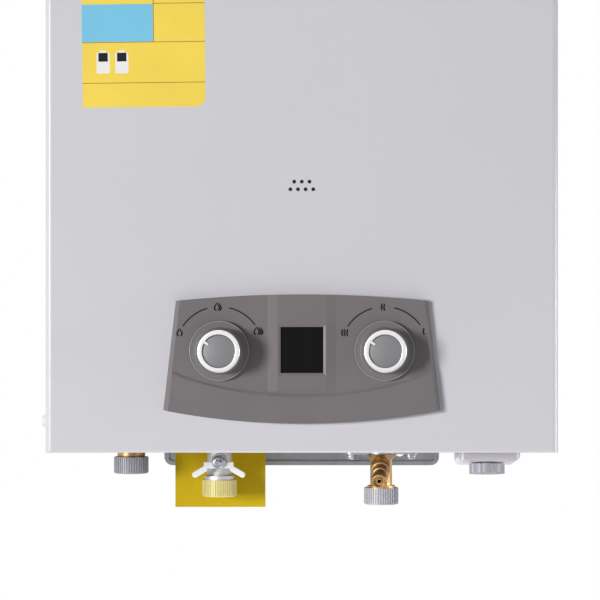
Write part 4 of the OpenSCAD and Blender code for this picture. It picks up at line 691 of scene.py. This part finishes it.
def flames(shape, spot, count):
    """One flame, with as many more behind it as the count says."""
    x, z = spot
    x -= FLAME_STEP * count / 2
    flame(shape, (x, z))
    for extra in range(count):
        flame(shape, (x + FLAME_STEP * (extra + 1), z), (1,))


def waves(shape, spot, count):
    """Three curls of warm water, less the count."""
    x, z = spot
    total = 3 - count
    for extra in range(total):
        wave(shape, (x + WAVE_STEP * (extra - (total - 1) / 2), z))


STRIP_HALF_W, STRIP_CROWN_HALF_W, STRIP_FOOT_Z, STRIP_FOOT_EASE = 22.0, 15.6, -240.1, 0.8
WINDOW_HALF_W, WINDOW_HALF_H, WINDOW_Z, WINDOW_STEP, WINDOW_EDGE = 13.65, 14.75, -213.8, 1.6, 0.15
WINDOW_MARGIN = WINDOW_STEP + 0.1
CREASE_EASE, PANEL_END_X, PANEL_LEAN = 2.0, 83.55, 0.114


def near(value, target, reach=0.02):
    """Whether two lengths in millimetres are the same, but for rounding."""
    return abs(value - target) < reach


def eased_place(x, z, high):
    """Where a corner of a panel step goes, in millimetres, so that the step becomes a slope."""
    beside, above = abs(x), abs(z - WINDOW_Z)
    if beside < WINDOW_HALF_W + WINDOW_MARGIN and above < WINDOW_HALF_H + WINDOW_MARGIN:
        if not high and near(beside, WINDOW_HALF_W + WINDOW_STEP):
            x = math.copysign(WINDOW_HALF_W + WINDOW_EDGE, x)
        if not high and near(above, WINDOW_HALF_H + WINDOW_STEP):
            z = WINDOW_Z + math.copysign(WINDOW_HALF_H + WINDOW_EDGE, z - WINDOW_Z)
    elif near(beside, STRIP_HALF_W):
        x = math.copysign(STRIP_CROWN_HALF_W, x) if high else x
    elif near(z, STRIP_FOOT_Z) and beside < STRIP_HALF_W:
        z -= 0 if high else STRIP_FOOT_EASE
    elif not high:
        z += CREASE_EASE
        x -= math.copysign(CREASE_EASE * PANEL_LEAN, x) if near(beside, PANEL_END_X) else 0
    return x, z


def fascia():
    """The moulded panel, with the steps of its strip, crease and window eased into slopes."""
    shape = cad_copy("control_fascia")
    corners, slopes = set(), set()
    for face in shape.faces:
        heights = [v.co.y for v in face.verts]
        if abs(face.normal.y) < 0.3 and min(heights) > STRIP_Y - JOIN and max(heights) < FIELD_Y + JOIN:
            corners.update(face.verts)
            slopes.update(e for e in face.edges if abs(e.verts[0].co.y - e.verts[1].co.y) > 0.5 * MM)
    for vert in corners:
        high = near(vert.co.y / MM, STRIP_Y / MM)
        x, z = eased_place(vert.co.x / MM, vert.co.z / MM, high)
        vert.co.x, vert.co.z = x * MM, z * MM
    bmesh.ops.subdivide_edges(shape, edges=list(slopes), cuts=2)
    bmesh.ops.triangulate(shape, faces=[f for f in shape.faces if len(f.verts) > 4])
    piece = as_piece("control_fascia_finished", shape, "heater", "fascia_plastic", "control_fascia")
    soften(piece, 0.45, 3, angle=50, crisp=7)
    for edge in piece.data.edges:
        ends = [piece.data.vertices[i].co / MM for i in edge.vertices]
        if all(near(abs(co.x), STRIP_CROWN_HALF_W) and near(co.y, STRIP_Y / MM) for co in ends):
            edge.use_edge_sharp = False


def control_panel():
    fascia()
    dress("display_lens", 0.2)
    dress("display_board", 0.1)
    dial_marks("gas_dial_marks", "gas_knob", flames)
    dial_marks("water_dial_marks", "water_knob", waves)


# ---- Knobs

KNOB_H, SKIRT_R, SKIRT_H, BARREL_R, RING_IN_R, RING_T = 18.0, 19.1, 3.2, 13.6, 10.6, 1.5
SOCKET_R, SOCKET_H, KNOB_STEPS = 4.05, 12.0, 96
POINTER_W, POINTER_L, POINTER_ROOT, POINTER_TAPER, POINTER_ANGLE = 1.9, 3.0, 0.6, 0.65, 147
POINTER_SINK, POINTER_EDGE = 0.18, 0.18
DISC_R, DISC_SINK, DISC_CROWN, DISC_SHARES = RING_IN_R - 0.7, 1.0, 0.8, (1, 0.8, 0.6, 0.4, 0.2, 0)


def knob(node):
    """A skirt with a bead round its rim, a tapered barrel, and a crowned disc inside a groove."""
    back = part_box(node)[1].y
    axis = middle(node)
    disc_h, seat_h = KNOB_H - DISC_SINK, KNOB_H - RING_T
    shape = lathe([
        (0, SOCKET_H), (SOCKET_R, SOCKET_H), (SOCKET_R, 0), (SKIRT_R - 0.35, 0), (SKIRT_R, 0.35),
        (SKIRT_R, SKIRT_H - 0.3), (SKIRT_R - 0.1, SKIRT_H - 0.08), (SKIRT_R - 0.32, SKIRT_H),
        (SKIRT_R - 0.56, SKIRT_H - 0.08), (SKIRT_R - 0.68, SKIRT_H - 0.32), (BARREL_R + 2.2, SKIRT_H - 0.2),
        (BARREL_R + 1.5, SKIRT_H + 0.1), (BARREL_R + 1.15, SKIRT_H + 0.8), (BARREL_R + 0.12, seat_h - 0.7),
        (BARREL_R - 0.2, seat_h), (RING_IN_R, seat_h), (RING_IN_R, disc_h - 0.9),
        (RING_IN_R - 0.4, disc_h - 0.9), (RING_IN_R - 0.42, disc_h - 0.5),
        *[(share * DISC_R, disc_h + DISC_CROWN * (0.5 - share ** 2)) for share in DISC_SHARES],
    ], KNOB_STEPS)
    # Index 1 is the disc's satin grey; index 2, the bead round the skirt's rim, gets the lighter grey of a
    # painted highlight.
    for face in shape.faces:
        spot = face.calc_center_median()
        out = math.hypot(spot.x, spot.y) / MM
        if spot.z > (disc_h - 0.55) * MM and out < RING_IN_R - 0.41:
            face.material_index = 1
        elif spot.z > (SKIRT_H - 0.3) * MM and out > SKIRT_R - 0.6:
            face.material_index = 2
    shape.transform(facing((axis.x, back, axis.z), FRONT))
    piece = as_piece(node + "_finished", shape, node, "knob_plastic", node,
                     finishes=[FINISHES["knob_plastic"], knob_disc(node), FINISHES["knob_rim_painted_highlight"]])
    soften(piece, 0, angle=40)


def pointer():
    """The ring's pointer, which tapers inwards over the disc."""
    tab = bmesh.new()
    bmesh.ops.create_cube(tab, size=1.0)
    bmesh.ops.translate(tab, verts=tab.verts, vec=(0.5, 0, 0.5))
    for vert in tab.verts:
        vert.co.y *= POINTER_TAPER if vert.co.x < 0.5 else 1.0
    size = Vector((POINTER_L + POINTER_ROOT, POINTER_W, DISC_SINK)) * MM
    bmesh.ops.scale(tab, vec=size, verts=tab.verts)
    bmesh.ops.bevel(tab, geom=list(tab.edges), offset=POINTER_EDGE * MM, segments=2, profile=0.5,
                    affect="EDGES", material=-1)
    foot = Vector((RING_IN_R - POINTER_L, 0, RING_T - DISC_SINK - POINTER_SINK)) * MM
    bmesh.ops.translate(tab, verts=tab.verts, vec=foot)
    return tab


def knob_ring(node):
    """The silver ring with its pointer."""
    ring_node = node + "_ring"
    axis = middle(node)
    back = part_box(node)[1].y
    shape = lathe([
        (RING_IN_R + 0.06, 0), (BARREL_R, 0), (BARREL_R, RING_T * 0.5), (BARREL_R - 0.18, RING_T * 0.8),
        (BARREL_R - 0.6, RING_T), (RING_IN_R + 0.3, RING_T), (RING_IN_R + 0.06, RING_T - 0.2),
    ], KNOB_STEPS, ring=True)
    put(shape, pointer(), Matrix.Rotation(math.radians(POINTER_ANGLE), 4, "Z"))
    shape.transform(facing((axis.x, back - (KNOB_H - RING_T) * MM, axis.z), FRONT))
    piece = as_piece(ring_node + "_finished", shape, node, "silver_trim", ring_node,
                     finishes=[knob_silver(node)])
    soften(piece, 0, angle=40)


def knobs():
    for make in (knob, knob_ring):
        make("gas_knob")
        make("water_knob")
    dress("gas_spindle", 0.3)
    dress("water_spindle", 0.3)


# ---- Pipe connections

CAP_R, CAP_H, CAP_WALL, CAP_FLOOR, CAP_TOOTH, CAP_RIBS = 11.75, 11.3, 0.92, 1.6, 0.52, 44
CAP_RIM, CAP_FOOT, CAP_FOOT_SHARE, RIB_CREST_SHARE = 0.3, 0.5, 0.955, 0.94
THREAD_R, PORT_R = 10.48, 5.0


def boundary(shape, height):
    """The open edges at one height."""
    return [e for e in shape.edges if e.is_boundary and all(near(v.co.z / MM, height / MM) for v in e.verts)]


def ribbed_cap(node, finish=None):
    """A push-on transport cap: a plain rim over a ribbed wall, open at the top."""
    low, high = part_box(node)
    shape = bmesh.new()
    rim, foot = CAP_RIM * MM, CAP_FOOT * MM
    wall_r = (CAP_R - CAP_TOOTH) * MM
    band = CAP_H * MM - rim - foot
    bmesh.ops.create_cone(shape, cap_ends=False, segments=2 * CAP_RIBS, radius1=wall_r, radius2=wall_r,
                          depth=band)
    ribs = []
    for face in shape.faces:
        spot = face.calc_center_median()
        if int(math.atan2(spot.y, spot.x) / math.pi * CAP_RIBS + 4 * CAP_RIBS) % 2 == 0:
            ribs.append(face)
    for face in bmesh.ops.extrude_discrete_faces(shape, faces=ribs)["faces"]:
        crest = face.calc_center_median()
        out = Vector((crest.x, crest.y, 0)).normalized()
        bmesh.ops.translate(shape, verts=face.verts, vec=out * CAP_TOOTH * MM)
        bmesh.ops.scale(shape, verts=face.verts, vec=(RIB_CREST_SHARE, RIB_CREST_SHARE, 1),
                        space=Matrix.Translation(-out * CAP_R * MM))
    for end, lift, shrink in ((band / 2, rim, 1.0), (-band / 2, -foot, CAP_FOOT_SHARE)):
        made = bmesh.ops.extrude_edge_only(shape, edges=boundary(shape, end))["geom"]
        loop = [p for p in made if isinstance(p, bmesh.types.BMVert)]
        bmesh.ops.translate(shape, verts=loop, vec=(0, 0, lift))
        bmesh.ops.scale(shape, verts=loop, vec=(shrink, shrink, 1))
    ends = bmesh.ops.holes_fill(shape, edges=[e for e in shape.edges if e.is_boundary])["faces"]
    mouth = max(ends, key=lambda f: f.calc_center_median().z)
    bmesh.ops.recalc_face_normals(shape, faces=shape.faces)
    bmesh.ops.inset_region(shape, faces=[mouth], thickness=(CAP_WALL - CAP_TOOTH) * MM)
    inside = bmesh.ops.extrude_discrete_faces(shape, faces=[mouth])["faces"][0]
    bmesh.ops.translate(shape, verts=inside.verts, vec=(0, 0, -(CAP_H - CAP_FLOOR) * MM))
    bmesh.ops.remove_doubles(shape, verts=shape.verts, dist=JOIN)
    spot = (low + high) / 2
    shape.transform(Matrix.Translation((spot.x, spot.y, low.z + band / 2 + foot)))
    slot = SLOT_OF[node]
    piece = as_piece(node + "_finished", shape, node, slot, node, finishes=[finish] if finish else None)
    soften(piece, 0, angle=30)


# Heights of the nipple's parts are above the casing's lower edge
CASING_LOW_Z = -280.0
NIPPLE_LOW, THREAD_TOP, COLLAR_LOW, COLLAR_TOP = -17.5, -8.2, -7.8, 15.4
NIPPLE_END_R, COLLAR_R, STUB_R = 8.9, 9.5, 9.0
NUT_R, NUT_H, NUT_MID = 13.5, 8.0, 19.0


def hot_nipple():
    """The brass outlet: thread, collar, hexagon over the bottom plate and stub."""
    spot = middle("hot_nipple")
    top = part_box("hot_nipple")[1].z / MM - CASING_LOW_Z
    shape = lathe([
        (PORT_R, NIPPLE_LOW), (NIPPLE_END_R, NIPPLE_LOW),
        *reversed(thread_profile(THREAD_R, THREAD_TOP, NIPPLE_LOW)[:-1]),
        (COLLAR_R - 0.3, COLLAR_LOW), (COLLAR_R, COLLAR_LOW + 0.4), (COLLAR_R, COLLAR_TOP),
        (STUB_R, COLLAR_TOP + 0.2), (STUB_R, top - 0.5), (STUB_R - 0.5, top), (PORT_R, top),
    ], 64, ring=True)
    nut = bmesh.new()
    bmesh.ops.create_cone(nut, cap_ends=True, segments=6, radius1=NUT_R * MM, radius2=NUT_R * MM,
                          depth=NUT_H * MM)
    put(shape, nut, Matrix.Translation((0, 0, NUT_MID * MM)))
    shape.transform(Matrix.Translation((spot.x, spot.y, CASING_LOW_Z * MM)))
    soften(as_piece("hot_nipple_finished", shape, "heater", "brass", "hot_nipple"), 0.2)


HANDLE_HUB_R, HANDLE_BORE_R, HANDLE_BAR, HANDLE_BAR_LOW = 4.6, 2.65, (20.0, 4.3), 2.1
WING_ROOT, WING_TIP, WING_W = Vector((9.6, -4.8)), Vector((15.9, -8.5)), 4.0


def cock_handle():
    """The wing handle: a hub on the stem, a straight bar under it and two round-ended wings."""
    low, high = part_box("gas_cock_handle")
    hub, _ = joint_axis("gas_cock_turn")
    thick = (high.y - low.y) / MM
    shape = lathe([
        (HANDLE_BORE_R, 0), (HANDLE_HUB_R, 0), (HANDLE_HUB_R, thick), (HANDLE_BORE_R, thick),
    ], 48, ring=True)
    bar = plate(*HANDLE_BAR, thick - 0.1, 0.5)
    put(shape, bar, Matrix.Translation((0, -HANDLE_BAR_LOW * MM, 0.05 * MM)))
    along = WING_TIP - WING_ROOT
    for side in (1, -1):
        wing = plate(along.length + WING_W, WING_W, thick - 0.2, WING_W / 2 - 0.05, 8)
        mid = (WING_ROOT + WING_TIP) / 2 * MM
        turn = Matrix.Rotation(side * math.atan2(along.y, along.x), 4, "Z")
        put(shape, wing, Matrix.Translation((side * mid.x, mid.y, 0.1 * MM)) @ turn)
    shape.transform(facing((hub.x, high.y, hub.z), FRONT))
    soften(as_piece("gas_cock_handle_finished", shape, "gas_cock", SLOT_OF["gas_cock_handle"],
                    "gas_cock_handle"), 0.35, 3)


COCK_SCREW_R, COCK_SCREW_H, COCK_SHANK_R, COCK_SHANK_L = 4.5, 3.0, 1.6, 7.0


def gas_cock():
    dress("gas_cock_body", 0.35, 3)
    dress("gas_cock_ball", 0.2)
    dress("gas_cock_stem", 0.2)
    cock_handle()
    spot = middle("gas_cock_screw")
    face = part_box("gas_cock_screw")[0].y
    shape = pan_head(COCK_SCREW_R, COCK_SCREW_H, COCK_SHANK_R, COCK_SHANK_L)
    shape.transform(facing((spot.x, face + COCK_SCREW_H * MM, spot.z), FRONT))
    soften(as_piece("gas_cock_screw_finished", shape, "gas_cock", "zinc_screw", "gas_cock_screw"), 0.12)
    dress("gas_tag", 0.12)


FLANGE_HEAD_R, FLANGE_HEAD_H, FLANGE_SHANK_L, FLANGE_SCREW_X = 3.8, 2.9, 9.8, 20.0
FLANGE_WASHER_R, FLANGE_WASHER_T = 4.4, 0.8


def cold_inlet():
    dress("cold_inlet", 0.35, 3)
    dress("inlet_flange", 0.4, 3)
    shape = bmesh.new()
    flange_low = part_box("inlet_flange")[0].z
    mid = middle("inlet_flange")
    for side in (-1, 1):
        seat = Vector((mid.x + side * FLANGE_SCREW_X * MM, mid.y, flange_low))
        washer = lathe([
            (SCREW_HOLE_R, 0), (FLANGE_WASHER_R, 0), (FLANGE_WASHER_R, FLANGE_WASHER_T - 0.25),
            (FLANGE_WASHER_R - 0.2, FLANGE_WASHER_T), (SCREW_HOLE_R, FLANGE_WASHER_T),
        ], 32, ring=True)
        screw = pan_head(FLANGE_HEAD_R, FLANGE_HEAD_H, SCREW_R, FLANGE_SHANK_L)
        put(washer, screw, Matrix.Translation((0, 0, FLANGE_WASHER_T * MM)))
        put(shape, washer, facing(seat, -UP))
    soften(as_piece("flange_screw_pair", shape, "heater", "zinc_screw", "inlet_flange_screws"), 0.12)
    drain_plug()


PLUG_FOOT, PLUG_TIP = 12.3, 34.3


def drain_plug():
    """The brass drain plug: a base ring, a ribbed neck and a nose with a dished end."""
    hub, axis = joint_axis("drain_plug_turn")
    foot, tip = PLUG_FOOT, PLUG_TIP
    shape = lathe([
        (0, 6), (2.5, 6), (2.95, 6.5), (2.95, foot), (6.0, foot), (6.4, foot + 0.4), (6.4, foot + 2.2),
        (6.1, foot + 2.6), (5.2, foot + 2.8), (5.0, foot + 3.4), (5.0, foot + 5.6), (5.4, foot + 6.0),
        (5.4, foot + 9.6), (5.1, foot + 10.0), (4.3, foot + 10.3), (4.2, tip - 7.6), (4.6, tip - 7.2),
        (5.1, tip - 6.8), (5.1, tip - 0.5), (4.6, tip), (3.8, tip), (3.5, tip - 1.3), (2.5, tip - 1.4),
        (2.2, tip - 0.4), (1.6, tip - 0.3), (1.35, tip - 0.6), (1.35, tip - 7), (0, tip - 7),
    ], 48)
    shape.transform(facing(hub, axis))
    soften(as_piece("drain_plug_finished", shape, "drain_plug", "brass", "drain_plug"), 0.12)


def pipe_connections():
    hot_nipple()
    pale_cap = moulded("cap_pale_grey", (0.47, 0.455, 0.50), 0.04, (0.36, 0.46))[0]
    ribbed_cap("hot_cap")
    ribbed_cap("gas_cap")
    ribbed_cap("cold_cap", pale_cap)
    gas_cock()
    cold_inlet()


# ---- Battery compartment

SPRING_WIRE, SPRING_TURNS, SPRING_STEPS = 0.55, 4.5, 22
SPRING_FOOT_R, SPRING_TIP_R, CONTACT_T, CONTACT_D = 8.4, 4.6, 0.6, 12.0
LID_FRONT_D = 12.0


def battery_spring():
    """The contact spring: wire wound into a cone on its flat plate."""
    low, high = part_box("battery_spring")
    size = (high - low) / MM
    spot = middle("battery_spring")
    flat = plate(size.x, CONTACT_D, CONTACT_T, 1.0)
    coil = bmesh.new()
    wire = bmesh.ops.create_circle(coil, segments=8, radius=SPRING_WIRE * MM)["verts"]
    stand = Matrix.Translation((SPRING_FOOT_R * MM, 0, (CONTACT_T + SPRING_WIRE) * MM))
    bmesh.ops.transform(coil, matrix=stand @ Matrix.Rotation(math.pi / 2, 4, "X"), verts=wire)
    rise = size.z - CONTACT_T - 2 * SPRING_WIRE
    steps = int(SPRING_TURNS * SPRING_STEPS)
    loop = list(coil.edges)
    for step in range(steps):
        made = bmesh.ops.extrude_edge_only(coil, edges=loop)["geom"]
        loop = [p for p in made if isinstance(p, bmesh.types.BMEdge)]
        ring = [p for p in made if isinstance(p, bmesh.types.BMVert)]
        angle = 2 * math.pi * step / SPRING_STEPS
        closing = (SPRING_FOOT_R - SPRING_TIP_R) / steps
        inward = Vector((-math.cos(angle), -math.sin(angle), 0)) * closing * MM
        bmesh.ops.translate(coil, verts=ring, vec=inward + Vector((0, 0, rise / steps * MM)))
        bmesh.ops.rotate(coil, verts=ring, cent=(0, 0, 0),
                         matrix=Matrix.Rotation(2 * math.pi / SPRING_STEPS, 3, "Z"))
    bmesh.ops.holes_fill(coil, edges=[e for e in coil.edges if e.is_boundary])
    put(flat, closed(coil))
    flat.transform(Matrix.Translation((spot.x, spot.y, low.z)))
    soften(as_piece("battery_spring_wound", flat, BODY_OF["battery_spring"], SLOT_OF["battery_spring"],
                    "battery_spring"), 0, angle=40)


def battery_lid():
    """The lid: a grey front shell and a pale rear one."""
    shape = cad_copy("battery_lid")
    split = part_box("battery_lid")[0].y + LID_FRONT_D * MM
    bmesh.ops.bisect_plane(shape, geom=[*shape.verts, *shape.edges, *shape.faces], plane_co=(0, split, 0),
                           plane_no=(0, 1, 0))
    for face in shape.faces:
        if face.calc_center_median().y > split:
            face.material_index = 1
    pale = moulded("battery_pale", (0.84, 0.795, 0.775), 0.02, (0.32, 0.4))[0]
    soften(as_piece("battery_lid_finished", shape, "battery_lid", SLOT_OF["battery_lid"], "battery_lid",
                    finishes=[FINISHES["battery_plastic"], pale]), 0.9, 3)


def battery_compartment():
    dress("battery_box", 0.4, 2)
    battery_lid()
    lock_grey = moulded("battery_lock_grey", (0.335, 0.32, 0.36), 0.03, (0.34, 0.42))[0]
    dress("battery_lock_knob", 0.7, 3, lock_grey)
    dress("battery_cells", 0.5, 2)
    battery_spring()


# ---- Inside

# How far the edges of each inner piece are rounded, in millimetres
INSIDE_EDGES = {
    "gas_valve_block": 0.8, "gas_solenoid": 0.5, "gas_riser": 0.15, "gas_manifold": 0.4,
    "gas_injectors": 0.15, "burner_frame": 0.2, "burner_bars": 0.15, "electrodes": 0.15,
    "combustion_chamber": 0.2, "fin_block": 0, "exchanger_tubes": 0.15, "jacket_coil": 0.15,
    "cold_riser": 0.15, "hot_pipe": 0.15, "draft_hood": 0.3, "flue_duct": 0.15, "thermostats": 0.4,
    "water_valve_body": 0.5, "water_valve_cover": 0.5, "water_valve_screws": 0.15, "water_diaphragm": 0.2,
    "push_rod": 0.15, "microswitch": 0.3, "switch_lever": 0.1, "ignition_controller": 0.6,
}


def inside():
    for node, width in INSIDE_EDGES.items():
        dress(node, width)


# ---- Sticker

STICKER_LEFT, STICKER_RIGHT, STICKER_LOW, STICKER_HIGH = -141.4, -62.5, -57.8, 54.2
STICKER_MID = Vector(((STICKER_LEFT + STICKER_RIGHT) / 2, (STICKER_LOW + STICKER_HIGH) / 2, 0)) * MM
STICKER_TILT, STICKER_CORNER = 0.7, 6.0
STICKER_LAYER = 0.04
BLUE_RIGHT, BLUE_LOW, BLUE_HIGH = -95.8, -15.8, 8.4
RULE_T, RULE_X, RULE_TOP = 0.4, -95.6, 40.0
MIDDLE_RULE_Z, UPPER_RULE_Z, LOWER_RULE_Z = -16.3, 8.5, -42.4
# The cell signs: where they stand, and their body, tip and mark about that spot
CELL_SPOTS = ((-128.0, -28.8), (-116.0, -28.8))
CELL_HALF_W, CELL_DROP, CELL_RISE, CELL_CORNER = 4.2, 7.2, 6.2, 0.8
TIP_HALF_W, TIP_RISE, TIP_CORNER = 2.0, 7.6, 0.3
MARK_HALF_W, MARK_LOW, MARK_HIGH = 3.0, 0.4, 6.0


def on_sticker(shape, layer):
    """Lays a drawing on the casing's front, turned with the sticker."""
    tilt = Matrix.Rotation(math.radians(STICKER_TILT), 4, "Z")
    shape.transform(Matrix.Translation(STICKER_MID) @ tilt @ Matrix.Translation(-STICKER_MID))
    shape.transform(facing((0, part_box("front_cover")[0].y - layer * STICKER_LAYER * MM, 0), FRONT))
    return shape


def field(x0, x1, z0, z1, corner=0.0):
    """One flat field of the sticker, in millimetres on the casing's front."""
    shape = plate(x1 - x0, z1 - z0, STICKER_LAYER, corner)
    shape.transform(Matrix.Translation(Vector(((x0 + x1) / 2, (z0 + z1) / 2, 0)) * MM))
    return shape


def sticker_sheet():
    """The yellow sheet, cut round at its lower right corner."""
    shape = bmesh.new()
    bmesh.ops.create_grid(shape, x_segments=1, y_segments=1, size=0.5)
    width, height = STICKER_RIGHT - STICKER_LEFT, STICKER_HIGH - STICKER_LOW
    bmesh.ops.scale(shape, vec=(width * MM, height * MM, 1), verts=shape.verts)
    corner = [v for v in shape.verts if v.co.x > 0 and v.co.y < 0]
    bmesh.ops.bevel(shape, geom=corner, offset=STICKER_CORNER * MM, segments=6, profile=0.5,
                    affect="VERTICES", material=-1)
    thicken(shape, STICKER_LAYER)
    shape.transform(Matrix.Translation(STICKER_MID))
    return shape


def cell_sign(shape, x, z):
    """A standing battery cell as a plain sign."""
    put(shape, field(x - CELL_HALF_W, x + CELL_HALF_W, z - CELL_DROP, z + CELL_RISE, CELL_CORNER))
    put(shape, field(x - TIP_HALF_W, x + TIP_HALF_W, z + CELL_RISE, z + TIP_RISE, TIP_CORNER))


def sticker():
    """A generic sheet with a blue field, rules and two cell signs, each in its own print layer."""
    def printed(name, colour):
        return moulded(name, colour, 0.03, (0.3, 0.38), 700.0, 0.03)[0]

    def layer(name, shape, height, finish):
        as_piece(name, on_sticker(shape, height), "heater", "tag_card", finishes=[finish])

    layer("sticker_sheet", sticker_sheet(), 0, printed("sticker_yellow", (0.97, 0.725, 0.095)))
    blue = field(STICKER_LEFT, BLUE_RIGHT, BLUE_LOW, BLUE_HIGH)
    layer("sticker_blue_field", blue, 1, printed("sticker_blue", (0.205, 0.60, 0.83)))
    rules = bmesh.new()
    put(rules, field(STICKER_LEFT, STICKER_RIGHT, MIDDLE_RULE_Z, MIDDLE_RULE_Z + RULE_T))
    put(rules, field(RULE_X, STICKER_RIGHT, UPPER_RULE_Z, UPPER_RULE_Z + RULE_T))
    put(rules, field(RULE_X, RULE_X + RULE_T, MIDDLE_RULE_Z + RULE_T, RULE_TOP))
    put(rules, field(STICKER_LEFT, STICKER_RIGHT, LOWER_RULE_Z, LOWER_RULE_Z + RULE_T))
    layer("sticker_rules", rules, 1, printed("sticker_brown", (0.25, 0.13, 0.02)))
    cells, marks = bmesh.new(), bmesh.new()
    for x, z in CELL_SPOTS:
        cell_sign(cells, x, z)
        put(marks, field(x - MARK_HALF_W, x + MARK_HALF_W, z + MARK_LOW, z + MARK_HIGH))
    layer("sticker_cells", cells, 1, printed("sticker_white", (0.92, 0.91, 0.885)))
    layer("sticker_cell_marks", marks, 2, FINISHES["print_ink"])


# ---- Studio

CAMERA_PLACE, CAMERA_LENS, CAMERA_SENSOR = (-0.0012, -1.780, -0.1818), 149.45, 36.0
FILL_LEVEL = 0.10
FLOOR_W, FLOOR_T, FLOOR_CORNER, FLOOR_Z = 4000, 10, 40, -0.86
PANEL, HEATER = (0, -0.18, -0.2), (0, 0, 0)
# Each lamp's place, the spot it is turned to, its width in metres and its power in watts
LAMPS = {
    "key_lamp": ((-4.1, -4.45, 0.1), PANEL, 1.5, 290),
    "right_lamp": ((2.2, -2.2, -0.45), PANEL, 0.4, 2),
    "bounce_lamp": ((0.05, -0.165, -0.62), (-0.03, -0.07, -0.3), 0.3, 0.2),
    "tag_lamp": ((0.0, -0.155, -0.42), (-0.035, -0.07, -0.315), 0.09, 0.065),
    "right_side_lamp": ((1.8, -0.3, -0.25), (0.165, -0.18, -0.1), 0.6, 12),
    "top_lamp": ((0, 0.35, 2.3), HEATER, 1.6, 26),
    "rear_lamp": ((0.3, 2.0, 1.2), HEATER, 1.4, 30),
}


def camera():
    """Looks straight at the front, as the photograph does."""
    data = bpy.data.cameras.new("front_camera")
    data.lens = CAMERA_LENS
    data.sensor_width = CAMERA_SENSOR
    made = bpy.data.objects.new("front_camera", data)
    made.location = CAMERA_PLACE
    made.rotation_euler = (math.radians(90), 0, 0)
    bpy.context.collection.objects.link(made)
    bpy.context.scene.camera = made


def soft_lamp(name, place, target, size, power):
    data = bpy.data.lights.new(name, "AREA")
    data.shape = "DISK"
    data.size = size
    data.energy = power
    lamp = bpy.data.objects.new(name, data)
    lamp.location = place
    aim = Vector(target) - Vector(place)
    lamp.rotation_euler = aim.to_track_quat("-Z", "Y").to_euler()
    bpy.context.collection.objects.link(lamp)


def white_surround():
    """A soft grey fill that the camera, metal and glass see as white."""
    world = bpy.data.worlds.new("white_surround")
    world.use_nodes = True
    back = world.node_tree.nodes["Background"]
    back.inputs["Color"].default_value = (1, 1, 1, 1)
    rays = add_node(world, "ShaderNodeLightPath").outputs
    seen = calculate(world, "MAXIMUM", rays["Is Camera Ray"], rays["Is Glossy Ray"])
    seen = calculate(world, "MAXIMUM", seen, rays["Is Transmission Ray"])
    link(world, ramp(world, seen, 0, 1, FILL_LEVEL, 1), back.inputs["Strength"])
    bpy.context.scene.world = world


def floor():
    """A plain pale floor under the heater's place on the wall."""
    finish, shader = new_finish("pale_floor", 0.7)
    drift = cloud(finish, where(finish), 2.0)
    tint(finish, shader, drift, (0.80, 0.80, 0.81), (0.84, 0.84, 0.85))
    shape = plate(FLOOR_W, FLOOR_W, FLOOR_T, FLOOR_CORNER)
    shape.transform(Matrix.Translation((0, 0, FLOOR_Z)))
    mesh = bpy.data.meshes.new("floor")
    shape.to_mesh(mesh)
    shape.free()
    mesh.materials.append(finish)
    made = bpy.data.objects.new("floor", mesh)
    bpy.context.collection.objects.link(made)


def studio():
    camera()
    white_surround()
    floor()
    for name, (place, target, size, power) in LAMPS.items():
        soft_lamp(name, place, target, size, power)
    bpy.context.scene.view_settings.view_transform = "Standard"


def main():
    make_finishes()
    studio()
    casing()
    casing_screws()
    side_fixing()
    control_panel()
    knobs()
    pipe_connections()
    battery_compartment()
    inside()
    sticker()


main()
